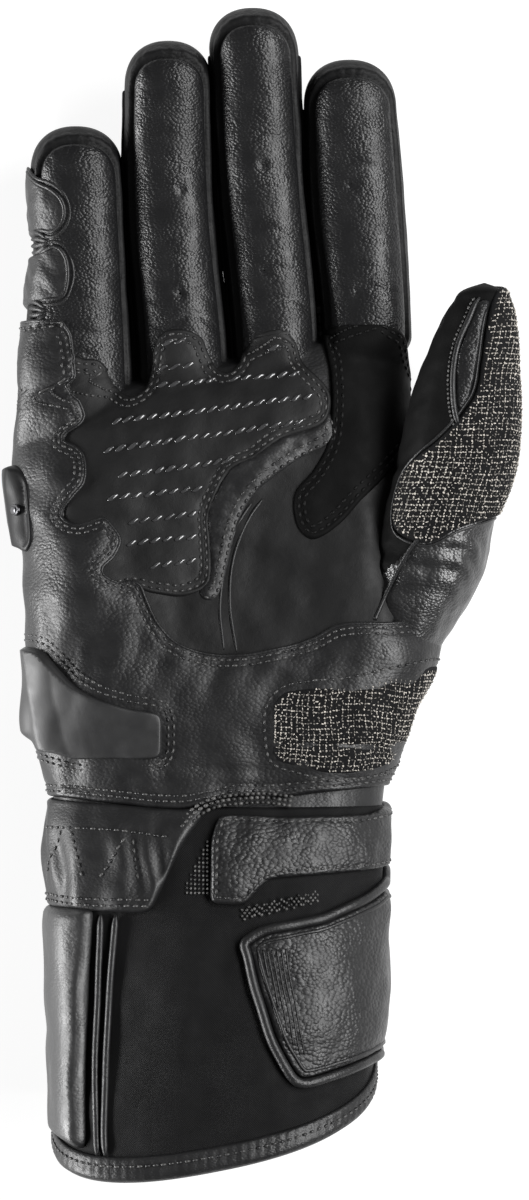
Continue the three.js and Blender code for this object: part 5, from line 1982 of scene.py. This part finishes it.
@dataclass
class Cuff:
    """The long cuff: cloth, back leather, bound hem, padded side, welts and closing strap."""

    hand: Hand
    shell: HandShell
    wall: float = 2.0
    pad: tuple = (
        (-60, 908), (30, 906), (93, 906), (95, 912), (91, 980), (88, 1060), (88, 1138), (84, 1146), (72, 1140),
        (50, 1129), (36, 1112), (-60, 1090),
    )
    outer_welt: tuple = ((103, 912), (101, 980), (98, 1060), (99, 1120), (100, 1150))
    inner_welt: tuple = ((118, 912), (112, 990), (108, 1080), (107, 1130), (108, 1150))
    roll: tuple = (
        (243, 940), (249, 935), (262, 927), (320, 917), (365, 897), (391, 874), (470, 856), (470, 1041),
        (391, 1048), (331, 1071), (301, 1079), (290, 1073), (272, 1038), (256, 987), (247, 950),
    )
    field: tuple = (
        (246, 942), (252, 938), (263, 931), (320, 921), (367, 901), (394, 879), (470, 862), (470, 1036),
        (390, 1043), (329, 1066), (302, 1073), (295, 1069), (276, 1035), (260, 985), (251, 949),
    )

    def build(self) -> None:
        """Makes every piece of the cuff."""
        self.cloth()
        self.hem()
        self.side()
        self.closing_strap()

    def cloth(self) -> None:
        """Makes the cloth front and the leather back, each a sheet with its thickness."""
        skin = self.hand.body
        v = np.arange(-99.6, -0.9, 1.0)
        for front, look, name, node in (
            (True, Look.CLOTH, "cuff_cloth_front", "cuff_front"), (False, Look.HIDE, "cuff_hide_back", "cuff_back")
        ):
            u, w = self.shell.sheet(v, front)
            folds = 0.45 * np.sin(w * 0.28 + 0.05 * u + 1.4 * ripple(u, w, 40, 81)) * bell(w + 30, 16)
            lift = (folds + 0.3 * ripple(u, w, 26, 82)) * ramp(w, -98, -90) * ramp(-w, 1, 8)
            stock = Stock()
            shell(stock, skin, u, w, lift if front else 0.5 * lift, self.wall)
            dress(stock, name, look, node)

    def hem(self) -> None:
        """Rolls the binding round the opening and stitches it."""
        skin = self.hand.body
        t = np.linspace(-1, 1, 321)[:-1]
        u0 = np.where(t < 0, t * skin.left[0], t * skin.right[0])
        profile = np.array([
            (6.2, 0.1), (6.1, 0.8), (5.5, 1.25), (4.6, 1.35), (3.4, 1.15), (2.0, 1.5), (0.8, 1.45), (-0.3, 0.9),
            (-0.9, -0.2), (-0.9, -1.4), (-0.4, -2.5), (0.8, -3.0), (3.0, -3.0), (4.6, -2.8), (4.8, -2.2), (5.2, -1.0),
        ])
        rings = []
        edge = skin.at(u0, np.full(len(t), skin.v[0]))
        ahead = skin.at(u0, np.full(len(t), skin.v[0] + 3.0)) - edge
        ahead /= np.linalg.norm(ahead, axis=1)[:, None]
        outward = skin.facing(u0, np.full(len(t), skin.v[0] + 1.0))
        pucker = 0.1 * np.sin(np.arange(len(t)) * 1.9) + 0.1 * ripple(u0, u0 * 0, 9, 83)
        for a, high in profile:
            rings.append(edge + ahead * a + outward * (high + (pucker[:, None] if high > 1 else 0)))
        points = np.stack(rings, axis=1)
        count, size = points.shape[:2]
        index = np.arange(count * size).reshape(count, size)
        ahead_index = np.roll(index, -1, axis=0)
        quads = np.stack([
            index, np.roll(index, -1, axis=1), np.roll(ahead_index, -1, axis=1), ahead_index
        ], axis=-1).reshape(-1, 4)
        stock = Stock()
        stock.add(points.reshape(-1, 3), quads)
        dress(stock, "cuff_hem_roll", Look.BINDING, "cuff_hem_binding")
        threads = Stock()
        at = np.linspace(-1, 1, 400)
        u = np.where(at < 0, at * skin.left[0], at * skin.right[0])
        sew(threads, skin, np.stack([u, np.full(len(u), skin.v[0] + 3.5)], axis=1), 1.25)
        dress(threads, "hem_stitches", Look.THREAD)

    def side(self) -> None:
        """Makes the padded side and the welts beside it."""
        skin = self.hand.body
        outline = clamp_round(skin, wrapped(skin, self.pad, corner=2.5), 12.0)
        ridge = float(skin.unroll(on_sheet([(82, 1020)]))[0, 0])

        def crown(u: Array, v: Array) -> Array:
            """Rises to a ridge beside the welts."""
            return 1.7 * bell(u - ridge + 1.5, 7) + 0.3 * ripple(u, v, 24, 84)

        pad = Panel(skin, outline, 2.2, 2.2, 0.4, base=0.3, spacing=1.1, relief=crown)
        piece = pad.make("cuff_side_cushion", Look.PAD_HIDE, "cuff_side_pad")
        for name, points in (("outer", self.outer_welt), ("inner", self.inner_welt)):
            stock = Stock()
            line = wrapped(skin, points, closed=False)
            piping(stock, skin, line, 0.75, 1.0, sides=12)
            dress(stock, f"cuff_{name}_piping", Look.BINDING, f"cuff_welt_{name}")

    def closing_strap(self) -> None:
        """Makes the closing strap: its field, ribs and rolled edge."""
        skin = self.hand.body
        field_outline = clamp_round(skin, wrapped(skin, self.field, corner=2.5), 9.3)
        field = Panel(skin, field_outline, 1.6, 1.0, 0.5, base=0.7, sink=1.2, spacing=1.0,
                      relief=lambda u, v: 0.25 * ripple(u, v, 22, 85))
        field.make("cuff_strap_field", Look.STRAP_HIDE, "cuff_strap")
        stock = Stock()
        run = clamp_round(skin, wrapped(skin, self.roll, corner=3.0), 9.2)
        tube(stock, skin.at(*run.T, 1.45), 1.4, 14, closed=True, up=skin.facing(*run.T))
        dress(stock, "cuff_strap_roll", Look.BINDING, "cuff_strap_binding")
        ribs = Stock()
        for i in range(7):
            x = 258 + 4.2 * i
            line = skin.unroll(on_sheet([(x + 0.17 * (y - 940), y) for y in np.arange(946, 1050, 3.0)]))
            keep = inside(line, field_outline) & (distance(line, field_outline) > 2.9)
            line = line[keep]
            if len(line) > 6:
                lift = field.height(*line.T)
                centre = skin.at(*line.T, lift)
                tube(ribs, centre, 0.3, 6, up=skin.facing(*line.T), flat=0.8)
        for run in inset(field_outline, 2.0):
            piping(ribs, skin, run, field.height(*run.T), 0.55)
        dress(ribs, "cuff_strap_ribs", Look.BINDING)


@dataclass
class Studio:
    """Pale floor, soft lights and the camera straight above the palm."""

    distance: float = 1.6
    frame_height: float = 0.336
    centre: tuple[float, float] = (0.00085, -0.0026)

    def build(self) -> None:
        """Makes the floor, the lights, the sky and the camera."""
        bpy.ops.mesh.primitive_plane_add(size=12, location=(0, 0, -0.0006))
        floor = bpy.context.object
        floor.name = "studio_floor"
        material = bpy.data.materials.new("studio_floor")
        material.use_nodes = True
        shader = next(node for node in material.node_tree.nodes if node.type == "BSDF_PRINCIPLED")
        shader.inputs["Base Color"].default_value = (0.25, 0.25, 0.25, 1)
        shader.inputs["Roughness"].default_value = 0.9
        shader.inputs["Specular IOR Level"].default_value = 0.1
        shader.inputs["Emission Color"].default_value = (1, 1, 1, 1)
        shader.inputs["Emission Strength"].default_value = 0.88
        floor.data.materials.append(material)
        self.light("key", (-1.1, -0.3, 0.11), (1.0, 0.18), 23)
        self.light("right", (0.68, 0.1, 0.86), (1.3, 0.3), 19)
        world = bpy.data.worlds.new("studio_sky")
        world.use_nodes = True
        world.node_tree.nodes["Background"].inputs["Color"].default_value = (1, 1, 1, 1)
        world.node_tree.nodes["Background"].inputs["Strength"].default_value = 0.12
        bpy.context.scene.world = world
        bpy.context.scene.view_settings.view_transform = "Standard"
        self.camera()

    def light(self, name: str, place: tuple[float, float, float], size: tuple[float, float], power: float) -> None:
        """Hangs a soft box that faces the glove.

        Args:
            name: its name.
            place: where it hangs, in metres.
            size: its width and height.
            power: its power in watts.
        """
        data = bpy.data.lights.new(name, "AREA")
        data.shape = "RECTANGLE"
        data.size, data.size_y = size
        data.energy = power
        lamp = bpy.data.objects.new(name, data)
        lamp.location = place
        lamp.rotation_euler = (-Vector(place)).to_track_quat("-Z", "Y").to_euler()
        bpy.context.scene.collection.objects.link(lamp)

    def camera(self) -> None:
        """Hangs the camera over the palm with the fingers up the picture."""
        data = bpy.data.cameras.new("camera")
        data.sensor_width = 36
        data.sensor_fit = "VERTICAL"
        data.sensor_height = 36
        plane = 0.035
        data.lens = 36 * (self.distance - plane) / self.frame_height
        data.clip_start, data.clip_end = 0.1, 10
        camera = bpy.data.objects.new("camera", data)
        camera.location = (self.centre[0], self.centre[1], self.distance)
        bpy.context.scene.collection.objects.link(camera)
        bpy.context.scene.camera = camera


def main() -> None:
    """Builds the glove piece by piece and sets the studio round it."""
    logging.basicConfig(level=logging.INFO, format="%(message)s")
    hand = Hand()
    Studio().build()
    leathers = HandShell(hand)
    leathers.build()
    starts = {"little": -4.5, "ring": -5.0, "middle": -5.0, "index": -3.0}
    vents = {
        "ring": ((180, 188), (180, 293)), "middle": ((263, 164), (265, 270)), "index": ((351, 183), (358, 290)),
    }
    for number, row in enumerate(hand.finger_rows):
        name = row[0]
        Finger(hand, name, row, starts[name], seed=40 + 13 * number, vents=vents.get(name, ())).build()
    for left, right in zip(hand.finger_rows, hand.finger_rows[1:]):
        Fourchette(hand, left, right).build()
    PalmPanels(hand).build()
    OuterLeather(hand, PalmPanels.grip).build()
    Scallops(hand).build()
    Thumb(hand).build()
    Sliders(hand).build()
    Wrist(hand).build()
    Cuff(hand, leathers).build()


if __name__ == "__main__":
    main()
